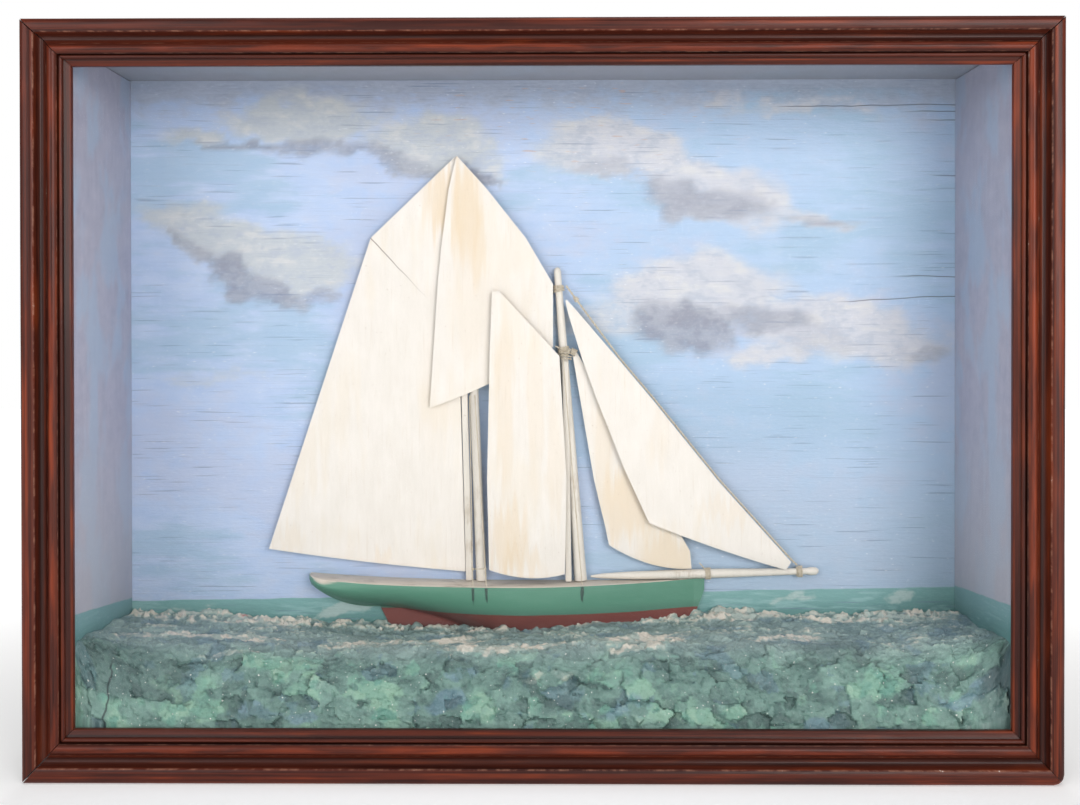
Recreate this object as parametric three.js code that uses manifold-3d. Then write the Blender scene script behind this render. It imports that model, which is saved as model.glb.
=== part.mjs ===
// Sailing ship shadowbox: the half model of a schooner under sail, with carved wooden sails, on a
// modelled sea in a deep painted case, behind glass and a mitred dark moulding.
// Millimetres. X runs to the right, Y from the front to the back, Z up from the surface it stands on.

import * as THREE from 'three';
import { mergeVertices } from 'three/addons/utils/BufferGeometryUtils.js';
import Module from 'manifold-3d';

const wasm = await Module();
wasm.setup();

// Case
const gap = 0.3; // left between pieces that touch
const caseWidth = 830; // over the moulding
const caseHeight = 610;
const railWidth = { top: 36, bottom: 40, side: 37.5 };
const mouldingDepth = 20;
const glassThickness = 2.6;
const sideOverhang = 15.7; // the moulding stands past the side boards
const sideThickness = 15;
const deckThickness = 15.7; // top and bottom boards
const boardFront = 160; // front of the back board, behind the frontmost face
const backThickness = 7;
const caseDepth = boardFront + backThickness;
const wornCorner = 9; // radius of the worn lower right corner
const innerHalf = caseWidth / 2 - sideOverhang - sideThickness;

// Moulding section, across from the outer edge and deep from the front
const moulding = {
  thumb: 11.8,
  cove: 19.6,
  fillet: 20.4,
  bead: 28.8,
  reed: 32.4,
  lip: 37.5,
  thumbDepth: 1.8,
  coveDepth: 10.5,
  coveEnd: 6.2,
  beadRoot: 5.2,
  quirkDepth: 7.6,
  reedEnd: 9.4,
  lipFront: 12,
  lipBack: 16,
  rebate: 25,
};

// Sea
const seaLevel = 94.5;
const seaFoot = 37; // height at the glass
const seaFront = 22;
const shoulderWidth = 44; // from the glass to the level sea
const shoulderAtWalls = 14;
const shoulderCurve = 2.2;
const wallReach = 30; // how far the heaped edge comes in from the side boards
const wallHeap = { front: 13, back: 3.5 }; // how much higher it is against them
const trough = { x: -95, width: 140, reach: 90, drop: 11.5 }; // the hollow that the hull lies in
const bowWave = { x: 178, width: 28, reach: 40, rise: 4.5 };
const swells = [
  { height: 1.2, across: 25, deep: 11, shift: 0 },
  { height: 0.9, across: 13, deep: -8, shift: 1.3 },
];
const chopHeight = 0.9;

// Hull, with its centre plane on the back board
const sternX = -216;
const sternpostX = -151;
const keelStartX = -138;
const midshipX = -20;
const stemX = 151;
const forefootX = 126;
const deckHeight = 128.2;
const halfBeam = 35;
const keelCut = 78; // the hull is cut off flat below the sea
const counterTuck = 103.4; // where the counter meets the sternpost
const bilgeDepth = 58; // lowest point that the full sections aim at
const keelHalf = 3;
const sheer = { stern: 7, bow: 1.6 }; // rise of the deck line towards its ends
const sternRound = 20; // length of the round stern, from above
const counterRise = 21; // of the counter's underside, from the sternpost to the stern
const forefootRise = 42;
const tumblehome = { share: 0.12, start: 50 }; // the counter's topsides lean in
// Powers that bend the hull's lines: higher keeps them straight for longer
const bend = { sheer: 2.5, counter: 2.6, forefoot: 1.8, entry: 1.6, bilge: 2.4, run: 1.63 };

// Spars: foot, head and radii, with the rake as a shift aft for each millimetre up
const mainMast = { x: -56.5, y: 154.4, foot: 128.9, head: 500, rFoot: 4.8, rHead: 3.4, rake: 0.0376 };
const foreMast = { x: 35.8, y: 153.5, foot: 129.2, head: 419.6, rFoot: 5.8, rHead: 3.3, rake: 0.0749 };
const bowsprit = { heel: 44.5, heelZ: 132.4, tip: 256.8, tipZ: 137.6, y: 154.2, r: 4.2, rTip: 3 };

// Sails and rigging
const sailThickness = 3.2;
const stripWidth = 5.6;
const threadRadius = 0.6;
const stayRadius = 1.1;
const stayOff = 1.7; // from the jib's luff to the middle of the stay
const jibLuff = [[229.9, 146.9], [162.4, 221.9], [101.4, 297.7], [71, 333.7], [32.3, 378.9]];

const lerp = (a, b, t) => a + (b - a) * t;
const clamp = (v) => Math.min(1, Math.max(0, v));
const bell = (v) => Math.exp(-v * v);

const finishes = {
  mahogany: { color: 0x4a1a0b, roughness: 0.35, metalness: 0 },
  glass: { color: 0xf2f6f6, roughness: 0.05, metalness: 0, transparent: true, opacity: 0.15 },
  painted_case: { color: 0x8f95ae, roughness: 0.6, metalness: 0 },
  sky_paint: { color: 0xa9c4e4, roughness: 0.6, metalness: 0 },
  sea_putty: { color: 0x5d8577, roughness: 0.5, metalness: 0 },
  hull_paint: { color: 0x4f8468, roughness: 0.55, metalness: 0 },
  sail_paint: { color: 0xe9dfd2, roughness: 0.6, metalness: 0 },
  spar_paint: { color: 0xd8cdbb, roughness: 0.6, metalness: 0 },
  thread: { color: 0xdcd0bb, roughness: 0.8, metalness: 0 },
};

const model = new THREE.Group();
model.position.y = -caseDepth / 2;

function addPiece(name, geometry, finish) {
  const piece = new THREE.Mesh(geometry, new THREE.MeshStandardMaterial(finishes[finish]));
  piece.name = name;
  model.add(piece);
  return piece;
}

// Geometry of a closed body, with its faces turned to point out
function closedBody(points, faces) {
  let volume = 0;
  for (const [a, b, c] of faces) {
    volume += points[a].dot(points[b].clone().cross(points[c]));
  }
  const outward = volume > 0 ? faces : faces.map(([a, b, c]) => [a, c, b]);
  const geometry = new THREE.BufferGeometry().setFromPoints(points);
  geometry.setIndex(outward.flat());
  return geometry;
}

// Closed plate between a front and a back sheet of points, each a list of equal rows
function plate(front, back) {
  const rows = front.length;
  const columns = front[0].length;
  const faces = [];
  const quad = (a, b, c, d) => faces.push([a, b, c], [a, c, d]);
  const behind = rows * columns;
  const at = (row, column) => row * columns + column;
  for (let row = 1; row < rows; row++) {
    for (let column = 1; column < columns; column++) {
      const corners = [at(row - 1, column - 1), at(row - 1, column), at(row, column), at(row, column - 1)];
      quad(...corners);
      quad(...corners.reverse().map((i) => i + behind));
    }
  }
  const rim = [];
  for (let column = 0; column < columns; column++) rim.push(at(0, column));
  for (let row = 1; row < rows; row++) rim.push(at(row, columns - 1));
  for (let column = columns - 2; column >= 0; column--) rim.push(at(rows - 1, column));
  for (let row = rows - 2; row > 0; row--) rim.push(at(row, 0));
  rim.forEach((from, i) => {
    const to = rim[(i + 1) % rim.length];
    quad(to, from, from + behind, to + behind);
  });
  return closedBody([...front.flat(), ...back.flat()], faces);
}

// Closed solid through rings of points, with both flat ends filled; section is one ring drawn flat
function loft(rings, section) {
  const count = section.length;
  const last = (rings.length - 1) * count;
  const faces = [];
  for (let ring = 0; ring < last; ring += count) {
    for (let i = 0; i < count; i++) {
      const j = (i + 1) % count;
      faces.push([ring + i, ring + j, ring + count + j]);
      faces.push([ring + i, ring + count + j, ring + count + i]);
    }
  }
  const turned = THREE.ShapeUtils.isClockWise(section);
  for (const triangle of THREE.ShapeUtils.triangulateShape(section, [])) {
    const [a, b, c] = turned ? triangle.reverse() : triangle;
    faces.push([a, c, b]);
    faces.push([last + a, last + b, last + c]);
  }
  return closedBody(rings.flat(), faces);
}

function toSolid(geometry) {
  const bare = geometry.clone();
  bare.deleteAttribute('normal');
  bare.deleteAttribute('uv');
  const merged = mergeVertices(bare, 1e-4);
  const vertProperties = new Float32Array(merged.attributes.position.array);
  const triVerts = new Uint32Array(merged.index.array);
  return new wasm.Manifold(new wasm.Mesh({ numProp: 3, vertProperties, triVerts }));
}

function toGeometry(solid) {
  const { vertProperties, triVerts } = solid.getMesh();
  const geometry = new THREE.BufferGeometry();
  geometry.setAttribute('position', new THREE.BufferAttribute(vertProperties, 3));
  geometry.setIndex(new THREE.BufferAttribute(triVerts, 1));
  return geometry;
}

// Front moulding: thumb, cove, fillet, bead, quirk, reed and sloping lip, with a rebate for the glass
function mouldingSection() {
  const m = moulding;
  const shape = new THREE.Shape();
  shape.moveTo(0, mouldingDepth);
  shape.lineTo(0, 4.5);
  shape.quadraticCurveTo(0.2, 0.4, 4.5, 0);
  shape.quadraticCurveTo(m.thumb - 2, 0, m.thumb, m.thumbDepth);
  shape.quadraticCurveTo(m.thumb + 2.4, m.coveDepth, m.cove, m.coveEnd);
  shape.lineTo(m.fillet, m.beadRoot);
  shape.quadraticCurveTo((m.fillet + m.bead) / 2, 0.2, m.bead, m.beadRoot);
  shape.lineTo(m.bead, m.quirkDepth);
  shape.quadraticCurveTo((m.bead + m.reed) / 2, m.quirkDepth - 2.2, m.reed, m.quirkDepth);
  shape.lineTo(m.reed, m.reedEnd);
  shape.lineTo(m.lip, m.lipFront);
  shape.lineTo(m.lip, m.lipBack);
  shape.lineTo(m.rebate, m.lipBack);
  shape.lineTo(m.rebate, mouldingDepth);
  return shape.extractPoints(5).shape;
}

function corner(side, level) {
  const rail = level > 0 ? railWidth.top : railWidth.bottom;
  const outer = new THREE.Vector2((side * caseWidth) / 2, level > 0 ? caseHeight : 0);
  const inner = new THREE.Vector2(outer.x - side * railWidth.side, outer.y - level * rail);
  return { outer, inner };
}

// One mitred rail between two corners; its far end may be worn round
function railGeometry(from, to, wear) {
  const section = mouldingSection();
  const along = to.outer.clone().sub(from.outer).normalize();
  const ring = (end, shift, smallest) => section.map((p) => {
    const u = Math.max(p.x, smallest) / moulding.lip;
    const at = end.outer.clone().lerp(end.inner, u).addScaledVector(along, shift);
    return new THREE.Vector3(at.x, p.y, at.y);
  });
  const rings = [ring(from, gap / 2, 0)];
  if (wear > 0) {
    for (let turn = 0; turn < Math.PI / 4; turn += Math.PI / 16) {
      const cos = Math.cos(turn);
      rings.push(ring(to, -gap / 2 - wear * (cos - Math.sin(turn)), wear * (1 - cos)));
    }
  }
  rings.push(ring(to, -gap / 2, wear * (1 - Math.SQRT1_2)));
  return loft(rings, section);
}

function makeMoulding() {
  const topLeft = corner(-1, 1);
  const topRight = corner(1, 1);
  const lowLeft = corner(-1, -1);
  const lowRight = corner(1, -1);
  addPiece('moulding_top', railGeometry(topLeft, topRight, 0), 'mahogany');
  addPiece('moulding_bottom', railGeometry(lowLeft, lowRight, wornCorner), 'mahogany');
  addPiece('moulding_left', railGeometry(topLeft, lowLeft, 0), 'mahogany');
  addPiece('moulding_right', railGeometry(topRight, lowRight, wornCorner), 'mahogany');
}

function makeCase() {
  const rebate = moulding.rebate / moulding.lip;
  const glassHalf = caseWidth / 2 - railWidth.side * rebate - gap;
  const glassLow = railWidth.bottom * rebate + gap;
  const glassHigh = caseHeight - railWidth.top * rebate - gap;
  const glass = new THREE.BoxGeometry(2 * glassHalf, glassThickness, glassHigh - glassLow);
  const pane = addPiece('glass_pane', glass, 'glass');
  pane.position.set(0, moulding.lipBack + gap + glassThickness / 2, (glassHigh + glassLow) / 2);

  const outerHalf = innerHalf + sideThickness;
  const boardStart = mouldingDepth + gap;
  const boardDepth = boardFront - gap - boardStart;
  const boardMiddle = boardStart + boardDepth / 2;
  for (const [name, z] of [['case_bottom', 0], ['case_top', caseHeight - deckThickness]]) {
    const deck = new THREE.BoxGeometry(2 * outerHalf, boardDepth, deckThickness);
    addPiece(name, deck, 'painted_case').position.set(0, boardMiddle, z + deckThickness / 2);
  }
  for (const [name, side] of [['case_left', -1], ['case_right', 1]]) {
    const tall = caseHeight - 2 * deckThickness - 2 * gap;
    const wall = new THREE.BoxGeometry(sideThickness, boardDepth, tall);
    const x = side * (innerHalf + sideThickness / 2);
    addPiece(name, wall, 'painted_case').position.set(x, boardMiddle, caseHeight / 2);
  }
  const back = new THREE.BoxGeometry(2 * outerHalf, backThickness, caseHeight);
  addPiece('back_board', back, 'sky_paint').position.set(0, boardFront + backThickness / 2, caseHeight / 2);
}

// Height of the modelled sea: level behind, falling over a rounded shoulder to the glass
function seaHeight(x, depth) {
  const nearWall = Math.exp(-(innerHalf - Math.abs(x)) / wallReach);
  const shoulder = lerp(shoulderWidth, shoulderAtWalls, nearWall);
  const fall = (1 - clamp((depth - seaFront) / shoulder)) ** shoulderCurve;
  const heap = lerp(wallHeap.front, wallHeap.back, depth / boardFront) * nearWall;
  const fromBack = boardFront - depth;
  const hollow = trough.drop * bell((x - trough.x) / trough.width) * bell(fromBack / trough.reach);
  const bow = bowWave.rise * bell((x - bowWave.x) / bowWave.width) * bell(fromBack / bowWave.reach);
  let waves = chopHeight * Math.sin(x / 7.5 + depth / 5) * Math.sin(depth / 9 + x / 60);
  for (const swell of swells) {
    waves += swell.height * Math.sin(x / swell.across + depth / swell.deep + swell.shift);
  }
  return seaLevel + heap + bow - hollow - (seaLevel - seaFoot) * fall + waves * (1 - 0.6 * fall);
}

function makeSea() {
  const columns = 72;
  const rows = 15;
  const floor = deckThickness + gap;
  const half = innerHalf - gap;
  const back = boardFront - gap;
  const depths = Array.from({ length: rows + 1 }, (_, i) => lerp(seaFront, back, (i / rows) ** 1.5));
  const ring = (x) => [
    new THREE.Vector3(x, seaFront, floor),
    ...depths.map((depth) => new THREE.Vector3(x, depth, seaHeight(x, depth))),
    new THREE.Vector3(x, back, floor),
  ];
  const rings = [];
  for (let i = 0; i <= columns; i++) {
    rings.push(ring(lerp(-half, half, i / columns)));
  }
  const section = rings[0].map((p) => new THREE.Vector2(p.y, p.z));
  const sea = toSolid(loft(rings, section));
  addPiece('modelled_sea', toGeometry(sea.subtract(toSolid(hullGeometry(gap)))), 'sea_putty');
}

// Lines of the half hull at one station
function deckLine(x) {
  return deckHeight + (x < 0 ? sheer.stern * (x / sternX) ** bend.sheer : sheer.bow * (x / stemX) ** 2);
}

function bottomLine(x) {
  if (x < sternpostX) {
    return counterTuck + counterRise * ((sternpostX - x) / (sternpostX - sternX)) ** bend.counter;
  }
  if (x < keelStartX) {
    return lerp(counterTuck, keelCut, (x - sternpostX) / (keelStartX - sternpostX));
  }
  return keelCut + forefootRise * clamp((x - forefootX) / (stemX - forefootX)) ** bend.forefoot;
}

function halfBreadth(x, z) {
  const aft = clamp((sternX + sternRound - x) / (sternRound + 1));
  const forward = clamp((x - midshipX) / (stemX - midshipX));
  const plan = halfBeam * Math.sqrt(1 - aft ** 2) * (1 - forward ** bend.entry);
  const rise = clamp((x - sternpostX) / (midshipX - sternpostX)) ** bend.run;
  const lowest = x < sternpostX ? bottomLine(x) : lerp(counterTuck, bilgeDepth, rise);
  const down = clamp((deckLine(x) - z) / (deckLine(x) - lowest));
  const lean = tumblehome.share * clamp((sternpostX - x) / tumblehome.start) * clamp(1 - down * 4);
  return Math.max(keelHalf, plan * (1 - down ** bend.bilge) * (1 - lean));
}

function spread(from, to, count) {
  return Array.from({ length: count }, (_, i) => lerp(from, to, i / (count - 1)));
}

function hullGeometry(grow) {
  const sides = 11;
  const stations = [
    ...spread(sternX, sternX + sternRound, 6),
    ...spread(sternX + 30, sternpostX, 4),
    ...spread(sternpostX + 3, keelStartX, 3),
    ...spread(keelStartX + 12, forefootX, 15),
    ...spread(forefootX + 3, stemX, 6),
  ];
  const back = boardFront - gap + grow;
  const rings = stations.map((x, index) => {
    const end = index === 0 ? -grow : index === stations.length - 1 ? grow : 0;
    const deck = deckLine(x);
    const bottom = bottomLine(x);
    const ring = [new THREE.Vector3(x + end, back, deck + grow)];
    for (let i = 0; i <= sides; i++) {
      const z = lerp(deck, bottom, (i / sides) ** 1.2);
      const level = i === 0 ? z + grow : z;
      ring.push(new THREE.Vector3(x + end, boardFront - halfBreadth(x, z) - grow, level));
    }
    ring.push(new THREE.Vector3(x + end, back, bottom - grow));
    ring.at(-2).z = bottom - grow;
    return ring;
  });
  const midship = rings[Math.floor(rings.length / 2)];
  return loft(rings, midship.map((p) => new THREE.Vector2(p.y, p.z)));
}

// Turned spars
function lathed(profile, sides) {
  const points = profile.map(([radius, along]) => new THREE.Vector2(radius, along));
  return new THREE.LatheGeometry(points, sides).rotateX(Math.PI / 2);
}

function makeMast(name, mast) {
  const length = (mast.head - mast.foot) * Math.hypot(1, mast.rake);
  const profile = [
    [0, 0],
    [mast.rFoot, 0],
    [mast.rHead, length - 4],
    [mast.rHead * 0.75, length - 1.2],
    [0, length],
  ];
  const spar = addPiece(name, lathed(profile, 14), 'spar_paint');
  spar.position.set(mast.x, mast.y, mast.foot);
  spar.rotation.y = -Math.atan(mast.rake);
}

const bowspritAngle = Math.atan((bowsprit.tipZ - bowsprit.heelZ) / (bowsprit.tip - bowsprit.heel));

function makeBowsprit() {
  const b = bowsprit;
  const length = b.tip - b.heel;
  const profile = [
    [0, 0],
    [0.9, 0.6],
    [2.4, 12],
    [3.7, 40],
    [b.r, 85],
    [b.r, 120],
    [b.rTip, length - 22],
    [b.rTip, length - 11],
    [b.rTip + 0.8, length - 8],
    [b.rTip + 0.6, length - 3],
    [b.rTip * 0.6, length - 0.6],
    [0, length],
  ];
  const spar = addPiece('bowsprit', lathed(profile, 14), 'spar_paint');
  spar.position.set(b.heel, b.y, b.heelZ);
  spar.rotation.y = Math.PI / 2 - bowspritAngle;
}

// Carved sail between two edges from foot to head, each a list of [x, z] stations in pairs
function sailGeometry({ left, right, leftDepth, rightDepth, belly, footBow }) {
  const across = spread(0, 1, 9);
  const rowHeight = 26;
  const front = [];
  const back = [];
  const addRow = (l, r, t) => {
    const row = across.map((s) => {
      const round = 4 * s * (1 - s);
      const depth = lerp(lerp(...leftDepth, t), lerp(...rightDepth, t), s) - belly * round * (1 - t * t);
      const level = lerp(l[1], r[1], s) - footBow * (1 - t) ** 3 * round;
      return new THREE.Vector3(lerp(l[0], r[0], s), depth, level);
    });
    front.push(row);
    back.push(row.map((p) => p.clone().setY(p.y + sailThickness)));
  };
  const top = left.length - 1;
  for (let i = 0; i < top; i++) {
    const steps = Math.ceil(Math.abs(left[i + 1][1] - left[i][1]) / rowHeight);
    for (let k = i === 0 ? 0 : 1; k <= steps; k++) {
      const f = k / steps;
      const l = [lerp(left[i][0], left[i + 1][0], f), lerp(left[i][1], left[i + 1][1], f)];
      const r = [lerp(right[i][0], right[i + 1][0], f), lerp(right[i][1], right[i + 1][1], f)];
      addRow(l, r, (i + f) / top);
    }
  }
  return plate(front, back);
}

function makeSails() {
  const mainsail = {
    left: [[-253, 159], [-158.4, 446.7], [-80.7, 521.6]],
    right: [[-71.2, 137.2], [-79.8, 446.7], [-79.7, 521.6]],
    leftDepth: [147.5, 151.3],
    rightDepth: [152.3, 152.3],
    belly: 0.4,
    footBow: 1.5,
  };
  const fisherman = {
    left: [[-103.5, 290], [-95.8, 407.6], [-92.5, 440], [-86, 491], [-79, 521.8]],
    right: [[10.2, 345.8], [10.2, 403.9], [-14.7, 446.3], [-50.6, 491.5], [-78, 521.8]],
    leftDepth: [145.2, 147],
    rightDepth: [148.9, 148],
    belly: 0.2,
    footBow: 5,
  };
  const foresail = {
    left: [[-48.6, 141.5], [-50.4, 224], [-47.8, 343.2], [-45.7, 396.4]],
    right: [[20.8, 136.8], [22.5, 223.5], [16, 337.5], [-39.3, 397.2]],
    leftDepth: [139, 139.8],
    rightDepth: [142.3, 140],
    belly: 2,
    footBow: 5,
  };
  const staysail = {
    left: [[61.9, 162.3], [58.5, 179], [48.1, 222.5], [28.3, 339]],
    right: [[138.5, 140.2], [137, 156.5], [112, 200], [32.5, 340.5]],
    leftDepth: [149.5, 150.6],
    rightDepth: [151.6, 150.8],
    belly: 0.8,
    footBow: 6.5,
  };
  const jib = {
    left: [[98.6, 184], [96.8, 187.6], [75.2, 234.7], [50, 299], [37.3, 333.7], [24.3, 376], [21.6, 388.4]],
    right: [[225.3, 139.5], ...jibLuff, [22.8, 389.4]],
    leftDepth: [141, 146],
    rightDepth: [148.2, 146],
    belly: 0.6,
    footBow: 1.8,
  };
  const sails = { mainsail, fisherman, foresail, staysail, jib };
  for (const [name, sail] of Object.entries(sails)) {
    addPiece(name, sailGeometry(sail), 'sail_paint');
  }
}

// Laths at the luffs, which run down to the deck as small tabs
function makeStrip(name, foot, head, front, back) {
  const height = head[1] - foot[1];
  const lean = new THREE.Matrix4().makeShear(0, 0, 0, 0, (head[0] - foot[0]) / height, 0);
  const strip = new THREE.BoxGeometry(stripWidth, back - front, height);
  strip.translate(0, (front + back) / 2, height / 2).applyMatrix4(lean);
  addPiece(name, strip.translate(foot[0] + stripWidth / 2, 0, foot[1]), 'sail_paint');
}

function roundSection(radius) {
  const sides = 8;
  const turns = spread(0, (2 * Math.PI * (sides - 1)) / sides, sides);
  return new THREE.Shape(turns.map((a) => new THREE.Vector2(radius * Math.cos(a), radius * Math.sin(a))));
}

function cordGeometry(path, radius, steps) {
  return new THREE.ExtrudeGeometry(roundSection(radius), { steps, extrudePath: path, bevelEnabled: false });
}

const point = (x, y, z) => new THREE.Vector3(x, y, z);

function makeRigging() {
  const shroudHeads = [point(-67, 149, 300.6), point(-62.2, 148.8, 301.4)];
  const shroudFeet = [point(-62.6, 124.3, 129.6), point(-50.4, 124.3, 129.6)];
  const shrouds = shroudHeads.map((head, i) => new THREE.LineCurve3(head, shroudFeet[i]));
  const crossAt = 0.91;
  const cross = new THREE.LineCurve3(...shrouds.map((shroud) => shroud.getPoint(crossAt)));
  const threads = [...shrouds, cross].map((path) => toSolid(cordGeometry(path, threadRadius, 1)));
  const joined = threads.reduce((all, thread) => all.add(thread));
  addPiece('main_shrouds', toGeometry(joined), 'thread');

  const foreShroud = new THREE.LineCurve3(point(19.2, 141.4, 336), point(36.4, 130.4, 129.6));
  addPiece('fore_shroud', cordGeometry(foreShroud, threadRadius, 1), 'thread');

  // The stay lies along the jib's luff, from the bowsprit's tip up to the foremast
  const beside = jibLuff.slice(0, -1).map(([x, z]) => point(x + stayOff * 0.76, 150, z + stayOff * 0.65));
  const route = [point(236, 152.6, 143.4), ...beside, point(22.2, 150, 402.5)];
  const stay = new THREE.CurvePath();
  for (let i = 1; i < route.length; i++) {
    stay.add(new THREE.LineCurve3(route[i - 1], route[i]));
  }
  addPiece('headstay', cordGeometry(stay, stayRadius, 24), 'thread');
}

// Whipping of cord round a spar: three turns fused in one collar
function whipping(inner, cord) {
  const turns = 3;
  const profile = [[inner, 0]];
  for (let i = 0; i < turns; i++) {
    profile.push([inner + cord, (i + 0.2) * cord], [inner + cord, (i + 0.8) * cord]);
    if (i < turns - 1) {
      profile.push([inner + cord * 0.6, (i + 1) * cord]);
    }
  }
  profile.push([inner, turns * cord], [inner, 0]);
  return lathed(profile, 12);
}

function lashMast(name, mast, height, cord) {
  const part = (height - mast.foot) / (mast.head - mast.foot);
  const collar = addPiece(name, whipping(lerp(mast.rFoot, mast.rHead, part) + gap, cord), 'thread');
  collar.position.set(mast.x - mast.rake * (height - mast.foot), mast.y, height);
  collar.rotation.y = -Math.atan(mast.rake);
}

function lashBowsprit(name, x, radius, cord) {
  const part = (x - bowsprit.heel) / (bowsprit.tip - bowsprit.heel);
  const collar = addPiece(name, whipping(radius + gap, cord), 'thread');
  collar.position.set(x, bowsprit.y, lerp(bowsprit.heelZ, bowsprit.tipZ, part));
  collar.rotation.y = Math.PI / 2 - bowspritAngle;
}

makeMoulding();
makeCase();
makeSea();
addPiece('hull', hullGeometry(0), 'hull_paint');
makeMast('main_mast', mainMast);
makeMast('fore_mast', foreMast);
makeBowsprit();
makeSails();
makeStrip('mainsail_luff_strip', [-70.6, 129.2], [-79.2, 490], 150.4, 155.6);
makeStrip('foresail_luff_strip', [21.6, 129.2], [18.6, 332], 145.9, 148);
makeRigging();
lashMast('masthead_lashing', foreMast, 398, 1);
lashMast('hounds_lashing', foreMast, 341, 1.1);
lashBowsprit('stem_lashing', stemX + 2.4, bowsprit.r, 1);
lashBowsprit('bowsprit_tip_lashing', 236.5, bowsprit.rTip, 1.4);

export default model;
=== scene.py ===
# %% [markdown]
# # Sailing ship shadowbox
# A shadowbox is a picture with depth: a wooden case with glass in front, a painted sky on its back
# board, a sea built up in putty, and the carved half of a ship fixed on the board. The frame that is
# loaded here holds every piece at its real size, so this script only dresses them: finer meshes
# where the carving asks for it, and a painted, varnished or bare finish on everything.
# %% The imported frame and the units
import math

import bmesh
import bpy
import numpy as np
from mathutils import Matrix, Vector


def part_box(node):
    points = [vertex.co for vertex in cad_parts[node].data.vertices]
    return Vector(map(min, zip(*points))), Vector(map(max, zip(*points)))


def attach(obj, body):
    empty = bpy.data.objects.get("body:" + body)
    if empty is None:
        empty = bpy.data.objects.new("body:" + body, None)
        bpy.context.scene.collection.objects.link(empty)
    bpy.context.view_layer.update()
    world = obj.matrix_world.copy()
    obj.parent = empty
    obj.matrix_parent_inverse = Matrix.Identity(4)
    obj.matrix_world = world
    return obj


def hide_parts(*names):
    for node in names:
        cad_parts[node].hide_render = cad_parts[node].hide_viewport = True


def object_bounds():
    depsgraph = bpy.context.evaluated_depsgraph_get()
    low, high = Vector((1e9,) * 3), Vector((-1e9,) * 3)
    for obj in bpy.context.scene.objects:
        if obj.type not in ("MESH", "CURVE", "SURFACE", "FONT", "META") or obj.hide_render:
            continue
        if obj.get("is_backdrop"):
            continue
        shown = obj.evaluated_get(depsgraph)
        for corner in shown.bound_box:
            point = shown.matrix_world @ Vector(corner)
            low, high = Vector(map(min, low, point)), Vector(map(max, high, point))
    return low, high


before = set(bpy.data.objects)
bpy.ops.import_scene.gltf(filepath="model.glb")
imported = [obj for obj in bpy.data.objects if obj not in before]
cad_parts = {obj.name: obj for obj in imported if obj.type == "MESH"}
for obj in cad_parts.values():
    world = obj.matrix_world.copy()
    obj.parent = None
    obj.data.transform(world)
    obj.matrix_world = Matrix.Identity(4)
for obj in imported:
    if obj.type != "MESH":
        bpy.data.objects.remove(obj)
cad_low, cad_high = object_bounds()
MM = 0.001
FACE = cad_low.y / MM  # the frontmost face; depths are measured from it
print("nodes", len(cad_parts), "overall mm", [round(v / MM) for v in cad_high - cad_low])

# %% [markdown]
# ## Camera, floor and light
# The photograph is a straight front view from slightly above the middle, with a mild telephoto
# lens. The frame of the picture sits a little low, which is a small shift of the lens. The case was
# lit by broad soft boxes: the main one a little to the right and above, because the sails throw
# soft shadows to the left and down, and the top rail one over the upper sky.
# %% Camera
PICTURE_WIDTH = 1080
FOCAL = 1120  # in the same pixels
OPTICAL_CENTRE = (539.03, 334.64)

camera = bpy.data.objects.new("camera", bpy.data.cameras.new("camera"))
bpy.context.scene.collection.objects.link(camera)
camera.data.sensor_width = 36
camera.data.lens = 36 * FOCAL / PICTURE_WIDTH
camera.data.shift_x = 0.5 - OPTICAL_CENTRE[0] / PICTURE_WIDTH
camera.data.shift_y = (OPTICAL_CENTRE[1] - 805 / 2) / PICTURE_WIDTH
camera.location = (0.00514, FACE * MM - 0.88618, 0.36396)
camera.rotation_euler = [math.radians(a) for a in (90 - 0.378, 0.047, 0.435)]
camera.data.clip_start = 0.05
bpy.context.scene.camera = camera
print("lens", round(camera.data.lens, 2), "mm, shift", round(camera.data.shift_y, 4))


# %% Floor, world and lights
def soft_box(name, azimuth, elevation, distance, width, height, watts, tint=(1, 1, 1)):
    """An area light aimed at the middle of the case; azimuth 0 is straight in front."""
    light = bpy.data.lights.new(name, "AREA")
    light.shape = "RECTANGLE"
    light.size = width
    light.size_y = height
    light.energy = watts
    light.color = tint
    lamp = bpy.data.objects.new(name, light)
    bpy.context.scene.collection.objects.link(lamp)
    turn = math.radians(azimuth)
    rise = math.radians(elevation)
    lamp.location = (
        distance * math.sin(turn) * math.cos(rise),
        -distance * math.cos(turn) * math.cos(rise),
        0.305 + distance * math.sin(rise),
    )
    lamp.rotation_euler = (math.pi / 2 - rise, 0, turn)
    return lamp


soft_box("main_soft_box", 24, 12, 2.4, 1.1, 0.9, 27.5, (1.0, 0.985, 0.97))
soft_box("side_soft_box", -34, 16, 2.6, 1.4, 1.2, 19, (0.96, 0.98, 1.0))
soft_box("overhead_soft_box", 10, 72, 2.0, 1.6, 1.2, 11)
soft_box("rear_soft_box", 180, 35, 2.6, 1.6, 1.2, 18)

world = bpy.data.worlds.new("studio")
bpy.context.scene.world = world
world.use_nodes = True
studio = world.node_tree
backdrop = studio.nodes["Background"]
backdrop.inputs["Color"].default_value = (1, 1, 1, 1)
backdrop.inputs["Strength"].default_value = 0.26
seen = studio.nodes.new("ShaderNodeBackground")
seen.inputs["Color"].default_value = (1, 1, 1, 1)
by_ray = studio.nodes.new("ShaderNodeMixShader")
studio.links.new(studio.nodes.new("ShaderNodeLightPath").outputs["Is Camera Ray"], by_ray.inputs[0])
studio.links.new(backdrop.outputs[0], by_ray.inputs[1])
studio.links.new(seen.outputs[0], by_ray.inputs[2])
studio.links.new(by_ray.outputs[0], studio.nodes["World Output"].inputs["Surface"])

bpy.context.scene.view_settings.view_transform = "Standard"
bpy.context.scene.cycles.use_denoising = True

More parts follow.
